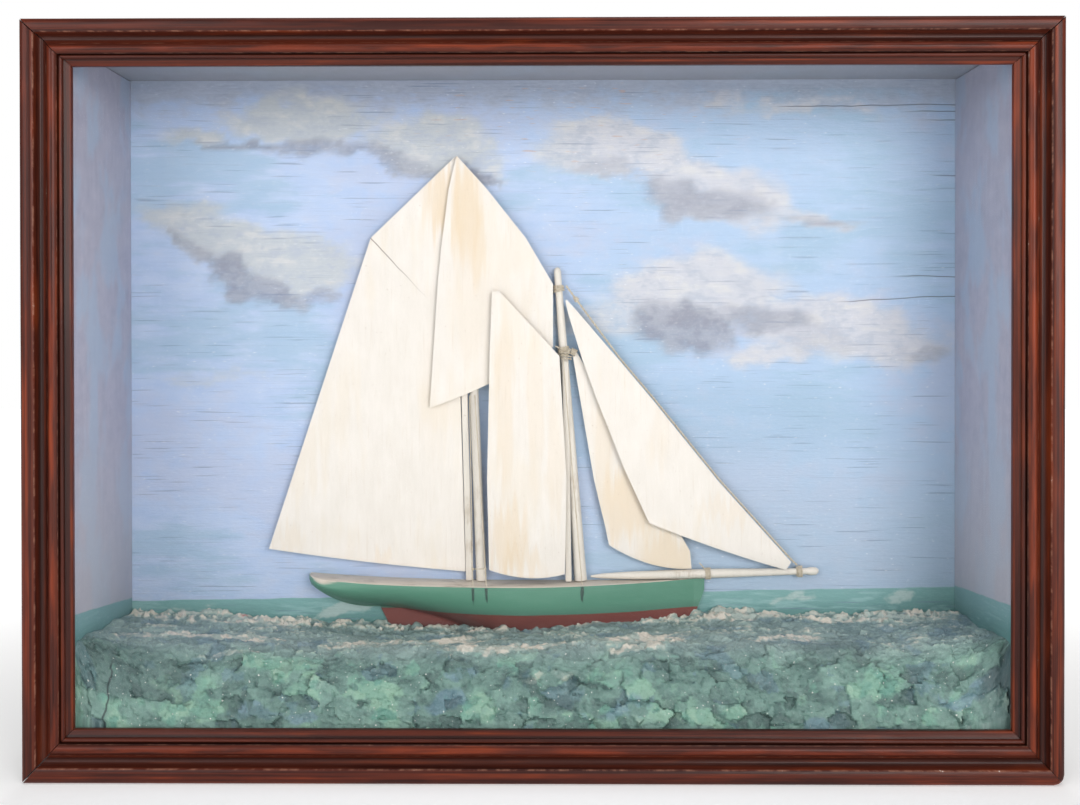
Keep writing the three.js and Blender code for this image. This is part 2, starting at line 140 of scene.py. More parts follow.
# %% [markdown]
# ## Writing node trees as sums
# Materials and Geometry Nodes are both trees of small nodes, and sums are the commonest of them.
# They could be wired by hand, one socket at a time. Wrapping a socket in a small class with the
# usual operators lets a formula be written as a formula, and it reads the same in both kinds of tree.


# %% Sockets with operators
class Socket:
    """An output socket: arithmetic on it adds the Math nodes that it stands for."""

    def __init__(self, maker, socket):
        self.maker = maker
        self.socket = socket

    def math(self, operation, *values):
        return self.maker.node("ShaderNodeMath", {"operation": operation}, values)

    def __add__(self, other):
        return self.math("ADD", self, other)

    def __radd__(self, other):
        return self.math("ADD", other, self)

    def __sub__(self, other):
        return self.math("SUBTRACT", self, other)

    def __rsub__(self, other):
        return self.math("SUBTRACT", other, self)

    def __mul__(self, other):
        return self.math("MULTIPLY", self, other)

    def __rmul__(self, other):
        return self.math("MULTIPLY", other, self)

    def __truediv__(self, other):
        return self.math("DIVIDE", self, other)

    def __rtruediv__(self, other):
        return self.math("DIVIDE", other, self)

    def __pow__(self, other):
        return self.math("POWER", self, other)

    def __abs__(self):
        return self.math("ABSOLUTE", self)


class Maker:
    """Adds nodes to one tree."""

    dimensions = "3D"

    def __init__(self, tree):
        self.tree = tree

    @staticmethod
    def find(sockets, key):
        if isinstance(key, int):
            return sockets[key]
        return next(s for s in sockets if key in (s.identifier, s.name))

    def node(self, kind, settings=None, values=(), output=0):
        """A node of that kind: its settings first, then the values or links of its sockets."""
        made = self.tree.nodes.new(kind)
        for name, setting in (settings or {}).items():
            if name == "stops":
                ramp = made.color_ramp.elements
                while len(ramp) < len(setting):
                    ramp.new(1)
                for stop, (position, colour) in zip(ramp, setting):
                    stop.position = position
                    stop.color = colour
            else:
                setattr(made, name, setting)
        for key, value in values.items() if isinstance(values, dict) else enumerate(values):
            target = self.find(made.inputs, key)
            if isinstance(value, Socket):
                self.tree.links.new(value.socket, target)
            else:
                target.default_value = value
        return Socket(self, self.find(made.outputs, output))

    def step(self, value, start, end, top=1.0):
        """0 before start, top after end, smooth between them; start may be the larger one."""
        ends = {"Value": value, "From Min": start, "From Max": end, "To Max": top}
        return self.node("ShaderNodeMapRange", {"interpolation_type": "SMOOTHSTEP"}, ends)

    def stretch(self, vector, by, shift=(0, 0, 0)):
        return self.node("ShaderNodeVectorMath", {"operation": "MULTIPLY_ADD"}, (vector, by, shift))

    def noise(self, vector, scale, detail=2.0, roughness=0.5, output="Fac"):
        values = {"Vector": vector, "Scale": scale, "Detail": detail, "Roughness": roughness}
        made = self.node("ShaderNodeTexNoise", {"noise_dimensions": self.dimensions}, values, output)
        if self.dimensions == "3D" or output != "Fac":
            return made
        calm = 0.855  # flat noise swings wider than noise in space; this gives both the same spread
        return self.node("ShaderNodeMath", {"operation": "MULTIPLY_ADD"}, (made, calm, 0.5 - calm / 2))

    def warp(self, vector, scale, reach, detail=3.0):
        """The same places, pushed about by as much as half of reach, so that edges become ragged."""
        push = self.noise(vector, scale, detail, 0.6, "Color")
        centred = self.stretch(push, (reach,) * 3, (-reach / 2,) * 3)
        return self.node("ShaderNodeVectorMath", {"operation": "ADD"}, (vector, centred))

    def patch(self, place, x, z, length, height, strength=1.0):
        """How much a soft oval covers, in the plane of the first two numbers of the place."""
        local = self.stretch(place, (1 / length, 1 / height, 0), (-x / length, -z / height, 0))
        far = self.node("ShaderNodeVectorMath", {"operation": "LENGTH"}, (local,), "Value")
        return self.step(far, 1.3, 0.55, strength)

    def apart(self, vector):
        """The three numbers of a vector."""
        first = self.node("ShaderNodeSeparateXYZ", None, (vector,))
        return first, *(Socket(self, first.socket.node.outputs[i]) for i in (1, 2))

    def smallest(self, a, b):
        return self.node("ShaderNodeMath", {"operation": "MINIMUM"}, (a, b))

    def largest(self, a, b):
        return self.node("ShaderNodeMath", {"operation": "MAXIMUM"}, (a, b))


# %% Colours and paints
def tone(red, green, blue):
    """A colour as it is read off a screen, from 0 to 255, in the linear numbers a shader wants."""
    share = [v / 255 for v in (red, green, blue)]
    return (*(v / 12.92 if v <= 0.04045 else ((v + 0.055) / 1.055) ** 2.4 for v in share), 1)


class Paint(Maker):
    """A material in the making, with places in millimetres: x, depth from the front face, and z."""

    def __init__(self, name):
        self.material = bpy.data.materials.new(name)
        self.material.use_nodes = True
        super().__init__(self.material.node_tree)
        self.shader = self.material.node_tree.nodes["Principled BSDF"]
        metres = self.node("ShaderNodeTexCoord", output="Object")
        self.place = self.stretch(metres, (1 / MM,) * 3, (0, -FACE, 0))
        self.x, self.depth, self.z = self.apart(self.place)

    def lay_flat(self, first, second):
        """From here on patterns lie in the plane of two numbers, which renders quicker than space."""
        self.place = self.node("ShaderNodeCombineXYZ", None, (first, second, 0.0))
        self.dimensions = "2D"

    def drawn(self, level, upright, shift=0.0):
        """The places drawn out along the level or the upright direction, for brushed paint."""
        by = (level, upright, 1) if self.dimensions == "2D" else (level, level, upright)
        return self.stretch(self.place, by, (shift, 0, 0))

    def mix(self, first, second, share):
        values = {"Factor_Float": share, "A_Color": first, "B_Color": second}
        return self.node("ShaderNodeMix", {"data_type": "RGBA"}, values, "Result_Color")

    def attribute(self, name, output="Fac"):
        return self.node("ShaderNodeAttribute", {"attribute_name": name}, (), output)

    def flecks(self, scale, density, stretch=(1, 1, 1), soft=0.03):
        """Scattered specks: where fine noise climbs over a high mark."""
        return self.step(self.noise(self.stretch(self.place, stretch), scale, 1.0), 1 - density, 1 - density + soft)

    def cover(self, share):
        """The next finish lies over the one so far where share is 1. Where it is 0 or 1, only the paint
        that shows is worked out, which saves much time beside a mix of two colours."""
        ends = self.material.node_tree.nodes["Material Output"].inputs["Surface"]
        under = ends.links[0].from_socket
        over = self.node("ShaderNodeBsdfPrincipled")
        self.shader = over.socket.node
        both = self.node("ShaderNodeMixShader", None, (share, Socket(self, under), over))
        self.tree.links.new(both.socket, ends)

    def finish(self, colour, roughness, relief=None, **plain):
        """Wires the finished sums to the shader; the relief is a height and its size in mm."""
        links = {"Base Color": colour, "Roughness": roughness}
        if relief:
            values = {"Strength": 1.0, "Distance": relief[1] * MM, "Height": relief[0]}
            links["Normal"] = self.node("ShaderNodeBump", None, values)
        for name, value in (*links.items(), *((k.replace("_", " "), v) for k, v in plain.items())):
            socket = self.find(self.shader.inputs, name)
            if isinstance(value, Socket):
                self.tree.links.new(value.socket, socket)
            else:
                socket.default_value = value
        return self.material


print("a mid grey is", [round(v, 3) for v in tone(128, 128, 128)])


# %% The floor
def pale_floor():
    mesh = bpy.data.meshes.new("floor")
    reach = 4
    corners = [(-reach, -reach, 0), (reach, -reach, 0), (reach, reach, 0), (-reach, reach, 0)]
    mesh.from_pydata(corners, [], [(0, 1, 2, 3)])
    floor = bpy.data.objects.new("floor", mesh)
    bpy.context.scene.collection.objects.link(floor)
    paper = Paint("white_paper")
    away = paper.node("ShaderNodeVectorMath", {"operation": "LENGTH"}, (paper.place,), "Value")
    glow = paper.mix(tone(150, 150, 150), tone(255, 255, 255), paper.step(away, 450, 1500))
    paper.finish(tone(239, 239, 239), 0.85, Emission_Color=glow, Emission_Strength=0.9)
    mesh.materials.append(paper.material)
    floor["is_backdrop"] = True
    return floor


pale_floor()

# %% [markdown]
# ## From points to pieces
# Every carved piece below is a sheet or a ring of points worked out by a formula, closed into a
# solid. One helper turns the points into a mesh in metres, makes its faces look outwards by the sign
# of its volume, and says which solid it stands for.


# %% Mesh helpers
def lerp(a, b, t):
    return a + (b - a) * t


def clamp(v):
    return np.clip(v, 0.0, 1.0)


def bell(v):
    return np.exp(-v * v)


def signed_volume(points, faces):
    """Six times the volume inside closed faces; it is negative when they look inwards."""
    total = 0.0
    for size in {len(f) for f in faces}:
        group = np.array([f for f in faces if len(f) == size])
        first = points[group[:, 0]]
        for i in range(1, size - 1):
            total += np.einsum("ij,ij->", first, np.cross(points[group[:, i]], points[group[:, i + 1]]))
    return total


def make_piece(name, points, faces, crease=35):
    """A mesh from points (x, depth, z) in millimetres, its faces turned outwards."""
    points = np.asarray(points, float) + (0, FACE, 0)
    if signed_volume(points, faces) < 0:
        faces = [f[::-1] for f in faces]
    mesh = bpy.data.meshes.new(name)
    mesh.from_pydata((points * MM).tolist(), [], faces)
    mesh.shade_smooth()
    mesh.set_sharp_from_angle(angle=math.radians(crease))
    piece = bpy.data.objects.new(name, mesh)
    bpy.context.scene.collection.objects.link(piece)
    return piece


def dress(piece, material, slot, *stands_for):
    """Gives a finished piece its material and its place in the frame."""
    if material:
        piece.data.materials.clear()
        piece.data.materials.append(material)
    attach(piece, "root")
    if stands_for:
        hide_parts(*stands_for)
    return piece


def mark(piece, name, values):
    """A number on every point of the mesh, for a material or for Geometry Nodes to read."""
    layer = piece.data.attributes.new(name, "FLOAT", "POINT")
    layer.data.foreach_set("value", np.asarray(values, np.float32))


def loft_faces(rings, count):
    """Faces of a closed skin through rings of count points each, with both ends filled."""
    faces = []
    for ring in range(rings - 1):
        here = ring * count
        for i in range(count):
            j = (i + 1) % count
            faces.append((here + i, here + j, here + count + j, here + count + i))
    faces.append(tuple(range(count))[::-1])
    faces.append(tuple(range((rings - 1) * count, rings * count)))
    return faces


def plate_faces(rows, columns):
    """Faces of a closed plate: a front sheet of points, a back sheet, and the rim between them."""
    def at(row, column):
        return row * columns + column

    behind = rows * columns
    faces = []
    for row in range(rows - 1):
        for column in range(columns - 1):
            a, b = at(row, column), at(row, column + 1)
            c, d = at(row + 1, column + 1), at(row + 1, column)
            faces.append((a, b, c, d))
            faces.append((d + behind, c + behind, b + behind, a + behind))
    rim = [at(0, c) for c in range(columns)] + [at(r, columns - 1) for r in range(1, rows)]
    rim += [at(rows - 1, c) for c in range(columns - 2, -1, -1)] + [at(r, 0) for r in range(rows - 2, 0, -1)]
    for i, start in enumerate(rim):
        end = rim[(i + 1) % len(rim)]
        faces.append((end, start, start + behind, end + behind))
    return faces


def bevel(piece, width, segments=2, angle=50):
    """Rounds the sharp edges of a piece."""
    shape = piece.modifiers.new("rounding", "BEVEL")
    shape.width = width * MM
    shape.segments = segments
    shape.limit_method = "ANGLE"
    shape.angle_limit = math.radians(angle)
    mesh = bpy.data.meshes.new_from_object(piece.evaluated_get(bpy.context.evaluated_depsgraph_get()))
    piece.modifiers.remove(shape)
    mesh.name = piece.name
    piece.data = mesh
    mesh.shade_smooth()
    mesh.set_sharp_from_angle(angle=math.radians(35))
    return piece


def span(node):
    """Lowest and highest corner of a CAD node, in millimetres: x, depth from the front face, z."""
    low, high = (np.array(corner) / MM - (0, FACE, 0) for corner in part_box(node))
    return low, high


print("glass from", span("glass_pane")[0].round(1), "to", span("glass_pane")[1].round(1))

# %% [markdown]
# ## The moulding
# The front is a mitred picture moulding, run with planes or scratch stock in one length and cut at 45
# degrees: a thumb at the outside, a deep cove, a small fillet, a bead, a fine reed, and a slope down
# to the glass. It could be a curve with a bevel object, but the mitres have to stay sharp and the
# profile's place has to be known to the varnish, which has painted shade in the cove and the quirks,
# painted highlights on the bead and the thumb, and wear on the edges that also stands in as painted
# highlight. So each rail is a section swept between its two mitres, and every point keeps how far
# across and how far along the rail it lies.
# %% The moulding's section
LIP = span("moulding_left")[1][0] - span("moulding_left")[0][0]
RAIL_DEPTH = span("moulding_top")[1][1]
THUMB, COVE, FILLET, BEAD, REED, REBATE = 11.8, 19.6, 20.4, 28.8, 32.4, 25


def bend(start, control, end, steps):
    """Points on a curve from start towards end, without its last point."""
    t = np.linspace(0, 1, steps, endpoint=False)[:, None]
    start, control, end = map(np.array, (start, control, end))
    return start * (1 - t) ** 2 + 2 * control * t * (1 - t) + end * t**2


def moulding_section():
    """Pairs of how far across and how deep, right round the rail."""
    parts = [
        bend((0, RAIL_DEPTH), (0, 12), (0, 4.5), 4),
        bend((0, 4.5), (0.2, 0.4), (4.5, 0), 9),
        bend((4.5, 0), (THUMB - 2, 0), (THUMB - 0.3, 1.5), 14),
        bend((THUMB - 0.3, 1.5), (THUMB, 1.8), (THUMB + 0.15, 2.3), 3),
        bend((THUMB + 0.15, 2.3), (THUMB + 2.4, 10.5), (COVE, 6.2), 18),
        bend((COVE, 6.2), (COVE + 0.3, 5.6), (FILLET, 5.2), 3),
        bend((FILLET, 5.2), ((FILLET + BEAD) / 2, 0.2), (BEAD, 5.2), 16),
        bend((BEAD, 5.2), (BEAD, 6.5), (BEAD + 0.1, 7.6), 3),
        bend((BEAD + 0.1, 7.6), ((BEAD + REED) / 2, 5.4), (REED, 7.6), 9),
        bend((REED, 7.6), (REED, 8.5), (REED + 0.1, 9.4), 3),
        bend((REED + 0.1, 9.4), (35, 10.6), (LIP - 0.6, 11.8), 6),
        bend((LIP - 0.6, 11.8), (LIP, 12), (LIP, 12.6), 3),
        bend((LIP, 12.6), (LIP, 14), (LIP, 16), 3),
        bend((LIP, 16), (30, 16), (REBATE, 16), 2),
        bend((REBATE, 16), (REBATE, 18), (REBATE, RAIL_DEPTH), 2),
        [(REBATE, RAIL_DEPTH)],
    ]
    return np.vstack(parts)


section = moulding_section()
print("points round the moulding", len(section))

# %% Smooth random numbers
def wander(points, size, seed):
    """Smooth noise between -1 and 1 at rows of coordinates, with features of about that size."""
    places = np.atleast_2d(np.asarray(points, float).T).T / size
    cell = np.floor(places).astype(int)
    part = places - cell
    part = part * part * (3 - 2 * part)
    primes = np.array([73856093, 19349663, 83492791])[: places.shape[1]]
    total = np.zeros(len(places))
    for corner in range(2 ** places.shape[1]):
        side = np.array([(corner >> axis) & 1 for axis in range(places.shape[1])])
        mixed = ((cell + side) * primes).sum(1) + seed * 2654435761
        mixed = (mixed ^ (mixed >> 13)) * 1274126177 & 0x7FFFFFFF
        value = ((mixed ^ (mixed >> 16)) & 0xFFFF) / 32767.5 - 1
        total += value * np.prod(np.where(side == 1, part, 1 - part), axis=1)
    return total


def pushed(places, reaches, seed):
    """The same places, pushed about by pairs of a size and a reach, so that edges become ragged."""
    moved = np.array(places, float)
    for i, (size, reach) in enumerate(reaches):
        for axis in (0, 1):
            moved[:, axis] += reach * wander(places, size, seed + 7 * i + 3 * axis)
    return moved


def cover(places, rows):
    """How far the strongest of many leaning ovals covers each place of a plane, from 0 to 1."""
    most = np.zeros(len(places))
    for x, z, length, height, lean, strength in rows:
        turn = math.radians(lean)
        offset = places - (x, z)
        along = offset @ (math.cos(turn), math.sin(turn))
        above = offset @ (-math.sin(turn), math.cos(turn))
        share = clamp((1.3 - np.hypot(along / length, above / height)) / 0.75)
        most = np.maximum(most, share * share * (3 - 2 * share) * strength)
    return most


print("noise at three places", wander([[0.2], [1.3], [2.9]], 1, 4).round(2))

# %% The four rails
CASE_LOW, CASE_HIGH = cad_low.z / MM, cad_high.z / MM
HALF = cad_high.x / MM
RAIL_WIDTH = {
    "top": span("moulding_top")[1][2] - span("moulding_top")[0][2],
    "bottom": span("moulding_bottom")[1][2] - span("moulding_bottom")[0][2],
}
OPEN_JOINT = {(-1, 1): 0.42, (1, 1): 0.38, (-1, -1): 0.5, (1, -1): 0.1}  # the mitres have shrunk apart
WORN_CORNER = 9.0


def mitre(side, level):
    """Outer and inner corner of the frame, as x and z."""
    outer = np.array([side * HALF, CASE_HIGH if level > 0 else CASE_LOW])
    drop = RAIL_WIDTH["top" if level > 0 else "bottom"]
    return outer, outer - (side * LIP, level * drop)


def rail(name, start, end, seed):
    """One rail between two corners, each given as its side and level."""
    (outer_a, inner_a), (outer_b, inner_b) = mitre(*start), mitre(*end)
    along = (outer_b - outer_a) / np.linalg.norm(outer_b - outer_a)
    share = (section[:, 0] / LIP)[:, None]
    opening = np.clip(1.15 - share, 0.12, 1)
    first = outer_a + (inner_a - outer_a) * share + along * (0.15 + OPEN_JOINT[start] * opening)
    last = outer_b + (inner_b - outer_b) * share - along * (0.15 + OPEN_JOINT[end] * opening)
    length = np.linalg.norm(outer_b - outer_a)
    stations = round(length / 4)
    rings = []
    places = []
    for t in np.linspace(0, 1, stations):
        flat = lerp(first, last, t)
        run = np.column_stack([np.full(len(section), t * length), section[:, 0]])
        places.append(run)
        rings.append(np.column_stack([flat[:, 0], section[:, 1], flat[:, 1]]))
    places = np.vstack(places)
    points = np.vstack(rings)
    crest = bell((places[:, 1] - THUMB) / 1.6)
    bruise = np.clip(wander(places, (9, 4), seed) - 0.45, 0, 1) * crest
    bow = wander(places[:, :1], 60, seed + 1) * 0.12 + wander(places, (14, 3), seed + 2) * 0.05
    front = points[:, 1] < 14
    points[:, 1] = np.maximum(points[:, 1] + np.where(front, bruise * 0.9 + bow, 0), 0)
    worn = np.array([HALF - WORN_CORNER, CASE_LOW + WORN_CORNER])
    reach = points[:, [0, 2]] - worn
    inside = (reach[:, 0] > 0) & (reach[:, 1] < 0)
    radius = np.maximum(np.hypot(*reach.T), 1e-6)
    squeeze = np.where(inside, np.abs(reach).max(1) / radius, 1)
    points[:, [0, 2]] = worn + reach * squeeze[:, None]
    piece = make_piece(name, points, loft_faces(stations, len(section)), 28)
    mark(piece, "along", places[:, 0])
    mark(piece, "across", places[:, 1])
    return piece


rails = {
    "moulding_top": rail("top_rail", (-1, 1), (1, 1), 3),
    "moulding_bottom": rail("bottom_rail", (-1, -1), (1, -1), 11),
    "moulding_left": rail("left_stile", (-1, 1), (-1, -1), 23),
    "moulding_right": rail("right_stile", (1, 1), (1, -1), 37),
}
print("faces in a rail", len(rails["moulding_top"].data.polygons))


# %% Varnished wood
def varnish(name, warmth_and_side_light, shift):
    """Dark red-brown varnish over straight grain, with an amount of orange showing through that is partly the wood's
    own colour and partly painted light, most on the right stile.
    """
    paint = Paint(name)
    along, across = paint.attribute("along"), paint.attribute("across")
    paint.lay_flat(along, across)

    def lengthways(stretch, scale, detail=3.0, roughness=0.55):
        grain = paint.stretch(paint.place, (stretch, 1, 1), (shift, 5 * shift, 0))
        return paint.noise(grain, scale, detail, roughness)

    streak = lengthways(0.006, 0.34, 2.0)
    fine = lengthways(0.02, 1.6)
    patch = lengthways(0.1, 0.12, 2.0)
    dark, middle, orange = tone(50, 17, 10), tone(82, 32, 18), tone(138, 58, 24)
    colour = paint.mix(dark, middle, paint.step(streak + (fine - 0.5) * 0.3, 0.34, 0.6))
    colour = paint.mix(colour, orange, paint.step(streak * 0.5 + patch * 0.5, 0.56 - warmth_and_side_light, 0.72) * 0.7)
    # painted highlight: the crowns of the bead and the thumb are lighter and more orange, where the light catches them
    painted_highlight_on_rounds = paint.step(abs(across - 24.5), 3.4, 1.0) * 0.42 + paint.step(abs(across - 5), 5.5, 1.0) * 0.14
    colour = paint.mix(colour, tone(142, 56, 26), painted_highlight_on_rounds * paint.step(patch, 0.38, 0.62))
    # painted shade: the cove and the quirks are darkened, where the light hardly reaches
    painted_shade_in_hollows = paint.step(abs(across - 29.2), 1.3, 0.3) * 0.75 + paint.step(abs(across - 15.6), 4.4, 1.2) * 0.45
    painted_shade_in_hollows = painted_shade_in_hollows + paint.step(abs(across - 33.0), 0.9, 0.2) * 0.6
    colour = paint.mix(colour, tone(28, 12, 8), painted_shade_in_hollows)
    worn = lengthways(1.0, 0.09, 4.0, 0.68)
    # wear on the arrises, with paler rubbed varnish and near-white chips; these pale lines also stand in as painted
    # highlight along the arrises
    edges = paint.step(abs(across - (THUMB - 0.5)), 0.8, 0.1)
    edges = paint.largest(edges, paint.step(abs(across - (FILLET - 0.2)), 0.4, 0.1) * 0.7)
    edges = paint.largest(edges, paint.step(abs(across - (BEAD - 0.3)), 0.35, 0.1) * 0.5)
    rubbed = edges * paint.step(worn, 0.42, 0.66)
    colour = paint.mix(colour, tone(150, 104, 84), rubbed * 0.6)
    colour = paint.mix(colour, tone(216, 202, 190), edges * paint.step(worn, 0.68, 0.73) * 0.85)
    rough = 0.34 + 0.12 * fine + 0.16 * rubbed
    plain = {"Specular_IOR_Level": 0.2, "Coat_Weight": 0.05, "Coat_Roughness": 0.12}
    return paint.finish(colour, rough, (streak + fine * 0.5, 0.1), **plain)


# more orange on the rails that the main light falls on, the right stile most: partly the wood's own colour and partly
# painted light
warmth_and_side_light = {"moulding_top": 0.0, "moulding_bottom": 0.02, "moulding_left": 0.05, "moulding_right": 0.12}
for i, (node, piece) in enumerate(rails.items()):
    dress(piece, varnish("varnished_" + piece.name, warmth_and_side_light[node], 7.3 * i), "mahogany", node)
print("rails dressed", list(rails))

# %% [markdown]
# ## The case
# Behind the moulding the case is four plain boards and a back board, butted and nailed. A box with
# rounded edges is all the shape they need; the work is in the finish. The same board is bare or
# stained outside and painted inside, so the paint is chosen by place: lavender grey with brush marks
# along the board, and the painted sea running round from the back board at its foot.


# %% Boards
def board(name, low, high, rounding=0.8):
    """A plain sawn board between two corners."""
    low, high = np.array(low, float), np.array(high, float)
    points = [[(low, high)[(i >> axis) & 1][axis] for axis in range(3)] for i in range(8)]
    faces = [(0, 1, 3, 2), (4, 6, 7, 5), (0, 4, 5, 1), (2, 3, 7, 6), (0, 2, 6, 4), (1, 5, 7, 3)]
    return bevel(make_piece(name, points, faces), rounding, 3)


INNER = -span("case_left")[1][0]  # half of the clear width
FLOOR = span("case_bottom")[1][2]
CEILING = span("case_top")[0][2]
BOARD_FRONT = span("back_board")[0][1]


def sea_paint(paint, horizon):
    """The painted sea that runs round the case, and how much of it shows; horizon is a height."""
    ripple = paint.noise(paint.drawn(0.14, 1), 0.2, 3.0, 0.62)
    broad = paint.noise(paint.drawn(0.4, 1), 0.03, 1.0)
    shown = paint.step(paint.z + (ripple - 0.5) * 3, horizon + 0.8, horizon - 0.6)
    down = paint.step(paint.z, horizon, horizon - 26)
    colour = paint.mix(tone(124, 170, 168), tone(96, 142, 140), down + (ripple - 0.5) * 1.2)
    colour = paint.mix(colour, tone(150, 190, 190), paint.step(ripple + (broad - 0.5) * 0.6, 0.5, 0.7) * 0.7)
    return colour, shown


def stained_wood(paint, dark, light, scale=1.0):
    """Aged softwood seen outside the case: straight grain, darker late wood and a little dirt."""
    grain = paint.stretch(paint.place, (0.05, 1, 1))
    rings = paint.noise(grain, 0.35 * scale, 3.0, 0.55)
    kind = {"wave_type": "BANDS", "bands_direction": "Y" if paint.dimensions == "2D" else "Z"}
    banded = {"Vector": grain, "Scale": 0.5 * scale, "Distortion": 6.0, "Detail": 1.0}
    lines = paint.node("ShaderNodeTexWave", kind, banded)
    pores = paint.noise(paint.stretch(grain, (0.5, 7, 7)), 1.4, 1.0)
    dirt = paint.noise(paint.place, 0.012, 3.0, 0.6)
    colour = paint.mix(dark, light, rings * 0.55 + lines * 0.45)
    colour = paint.mix(colour, dark, paint.step(pores, 0.6, 0.72) * 0.5)
    return paint.mix(colour, dark, paint.step(dirt, 0.5, 0.75) * 0.55), pores


def case_finish(name, along, upright):
    """Paint inside and stain outside for boards that run along the given direction."""
    paint = Paint(name)
    paint.lay_flat(getattr(paint, along), paint.depth)
    outside, pores = stained_wood(paint, tone(38, 20, 14), tone(88, 50, 34))
    paint.finish(outside, 0.62, (pores, 0.22))
    inside = paint.step(abs(paint.x), INNER + 0.9, INNER + 0.3)
    inside = inside * paint.step(paint.z, FLOOR - 0.9, FLOOR - 0.3) * paint.step(paint.z, CEILING + 0.9, CEILING + 0.3)
    paint.cover(inside)
    brush = paint.noise(paint.drawn(0.07, 1), 0.2, 3.0, 0.65)
    cloudy = paint.noise(paint.drawn(0.5, 1), 0.022, 3.0, 0.6)
    daubs = paint.noise(paint.place, 0.06, 3.0, 0.65)
    colour = paint.mix(tone(162, 160, 180), tone(190, 186, 200), brush * 0.7 + (daubs - 0.5) * 1.2 + 0.1)
    colour = paint.mix(colour, tone(168, 184, 206), paint.step(cloudy, 0.46, 0.62) * 0.7)
    if upright:
        colour = paint.mix(colour, tone(190, 186, 192), paint.step(paint.z, 330, 130) * 0.5)
        ledge = paint.step(paint.x, -10, 10)
        horizon = (131 - 0.127 * paint.depth) * (1 - ledge) + (139 - 0.1 * paint.depth) * ledge
        streaks = paint.noise(paint.drawn(0.09, 1, 40.0), 0.3, 2.0)
        paint.lay_flat(paint.depth, paint.z)
        sea, shown = sea_paint(paint, horizon)
        wash = paint.step(paint.z, horizon - 34, horizon) * 0.5
        colour = paint.mix(colour, paint.mix(sea, tone(136, 156, 176), wash * streaks), shown)
    else:
        # painted shade: the top and bottom boards are greyer and darker than the walls, for the dim ceiling
        colour = paint.mix(colour, tone(148, 150, 156), 0.5 + daubs * 0.6)
    colour = paint.mix(colour, tone(226, 226, 228), paint.flecks(0.6, 0.27) * 0.6)
    colour = paint.mix(colour, tone(120, 112, 116), paint.flecks(0.4, 0.25, (1.3, 1.3, 1)) * 0.5)
    return paint.finish(colour, 0.5, (brush, 0.22))


side_paint = case_finish("side_paint", "z", True)
level_paint = case_finish("level_paint", "x", False)
for node, paint in (("top", level_paint), ("bottom", level_paint), ("left", side_paint), ("right", side_paint)):
    low, high = span("case_" + node)
    dress(board("case_" + node + "_board", low, high), paint, "painted_case", "case_" + node)
print("clear inside", round(2 * INNER, 1), "by", round(CEILING - FLOOR, 1), "mm")

# %% [markdown]
# ## The painted sky
# The back board is one wide softwood panel with level grain. The sky was painted on it in oils: a
# pale blue ground and a few long grey clouds with cream tops and darker undersides, and below the
# horizon a strip of green sea. An image could be laid on it, but a painting is only strokes, so the
# clouds here are leaning ovals. How far they cover is worked out once for every point of a fine grid
# on the board, which is much quicker than asking each ray, and noise in the finish breaks up their
# edges. That leaves room for the grain, the hair cracks and the flecks of lost paint.
# %% Clouds
# One line for each stroke: middle x and z, half length, half height, lean in degrees, strength
LIT = [
    (-218, 563, 78, 24, 0, 1.0),
    (-319, 543, 28, 12, 0, 0.9),
    (-97, 530, 69, 26, -10, 0.9),
    (-40, 518, 12, 22, 10, 0.7),
    (-283, 440, 92, 26, -20, 0.95),
    (-218, 419, 49, 32, -20, 0.9),
    (-352, 465, 22, 12, -10, 0.8),
    (75, 531, 79, 27, -10, 1.0),
    (161, 496, 77, 30, -20, 0.95),
    (252, 469, 45, 10, -20, 0.8),
    (147, 399, 86, 37, 0, 1.0),
    (283, 363, 101, 34, -10, 0.95),
    (58, 377, 45, 16, 10, 0.6),
    (220, 340, 54, 13, 0, 0.8),
    (-306, 319, 70, 7, 0, 0.4),
    (241, 574, 112, 6, 0, 0.5),
]
SHADED = [
    (-273, 531, 62, 9, 0, 0.85),
    (-214, 537, 28, 13, 0, 0.8),
    (-178, 531, 45, 12, -10, 0.8),
    (-130, 519, 50, 14, -10, 0.75),
    (-54, 502, 19, 10, -20, 1.0),
    (-326, 436, 34, 9, -40, 0.75),
    (-291, 414, 38, 13, -40, 0.9),
    (-256, 401, 38, 13, -20, 0.85),
    (-210, 384, 32, 10, -10, 0.7),
    (62, 513, 40, 10, -20, 0.55),
    (149, 486, 64, 20, -10, 0.8),
    (255, 465, 40, 8, -10, 0.8),
    (129, 366, 56, 24, -10, 1.0),
    (213, 374, 60, 16, -10, 0.75),
    (261, 346, 40, 14, 0, 0.45),
    (358, 340, 26, 11, -10, 0.6),
]


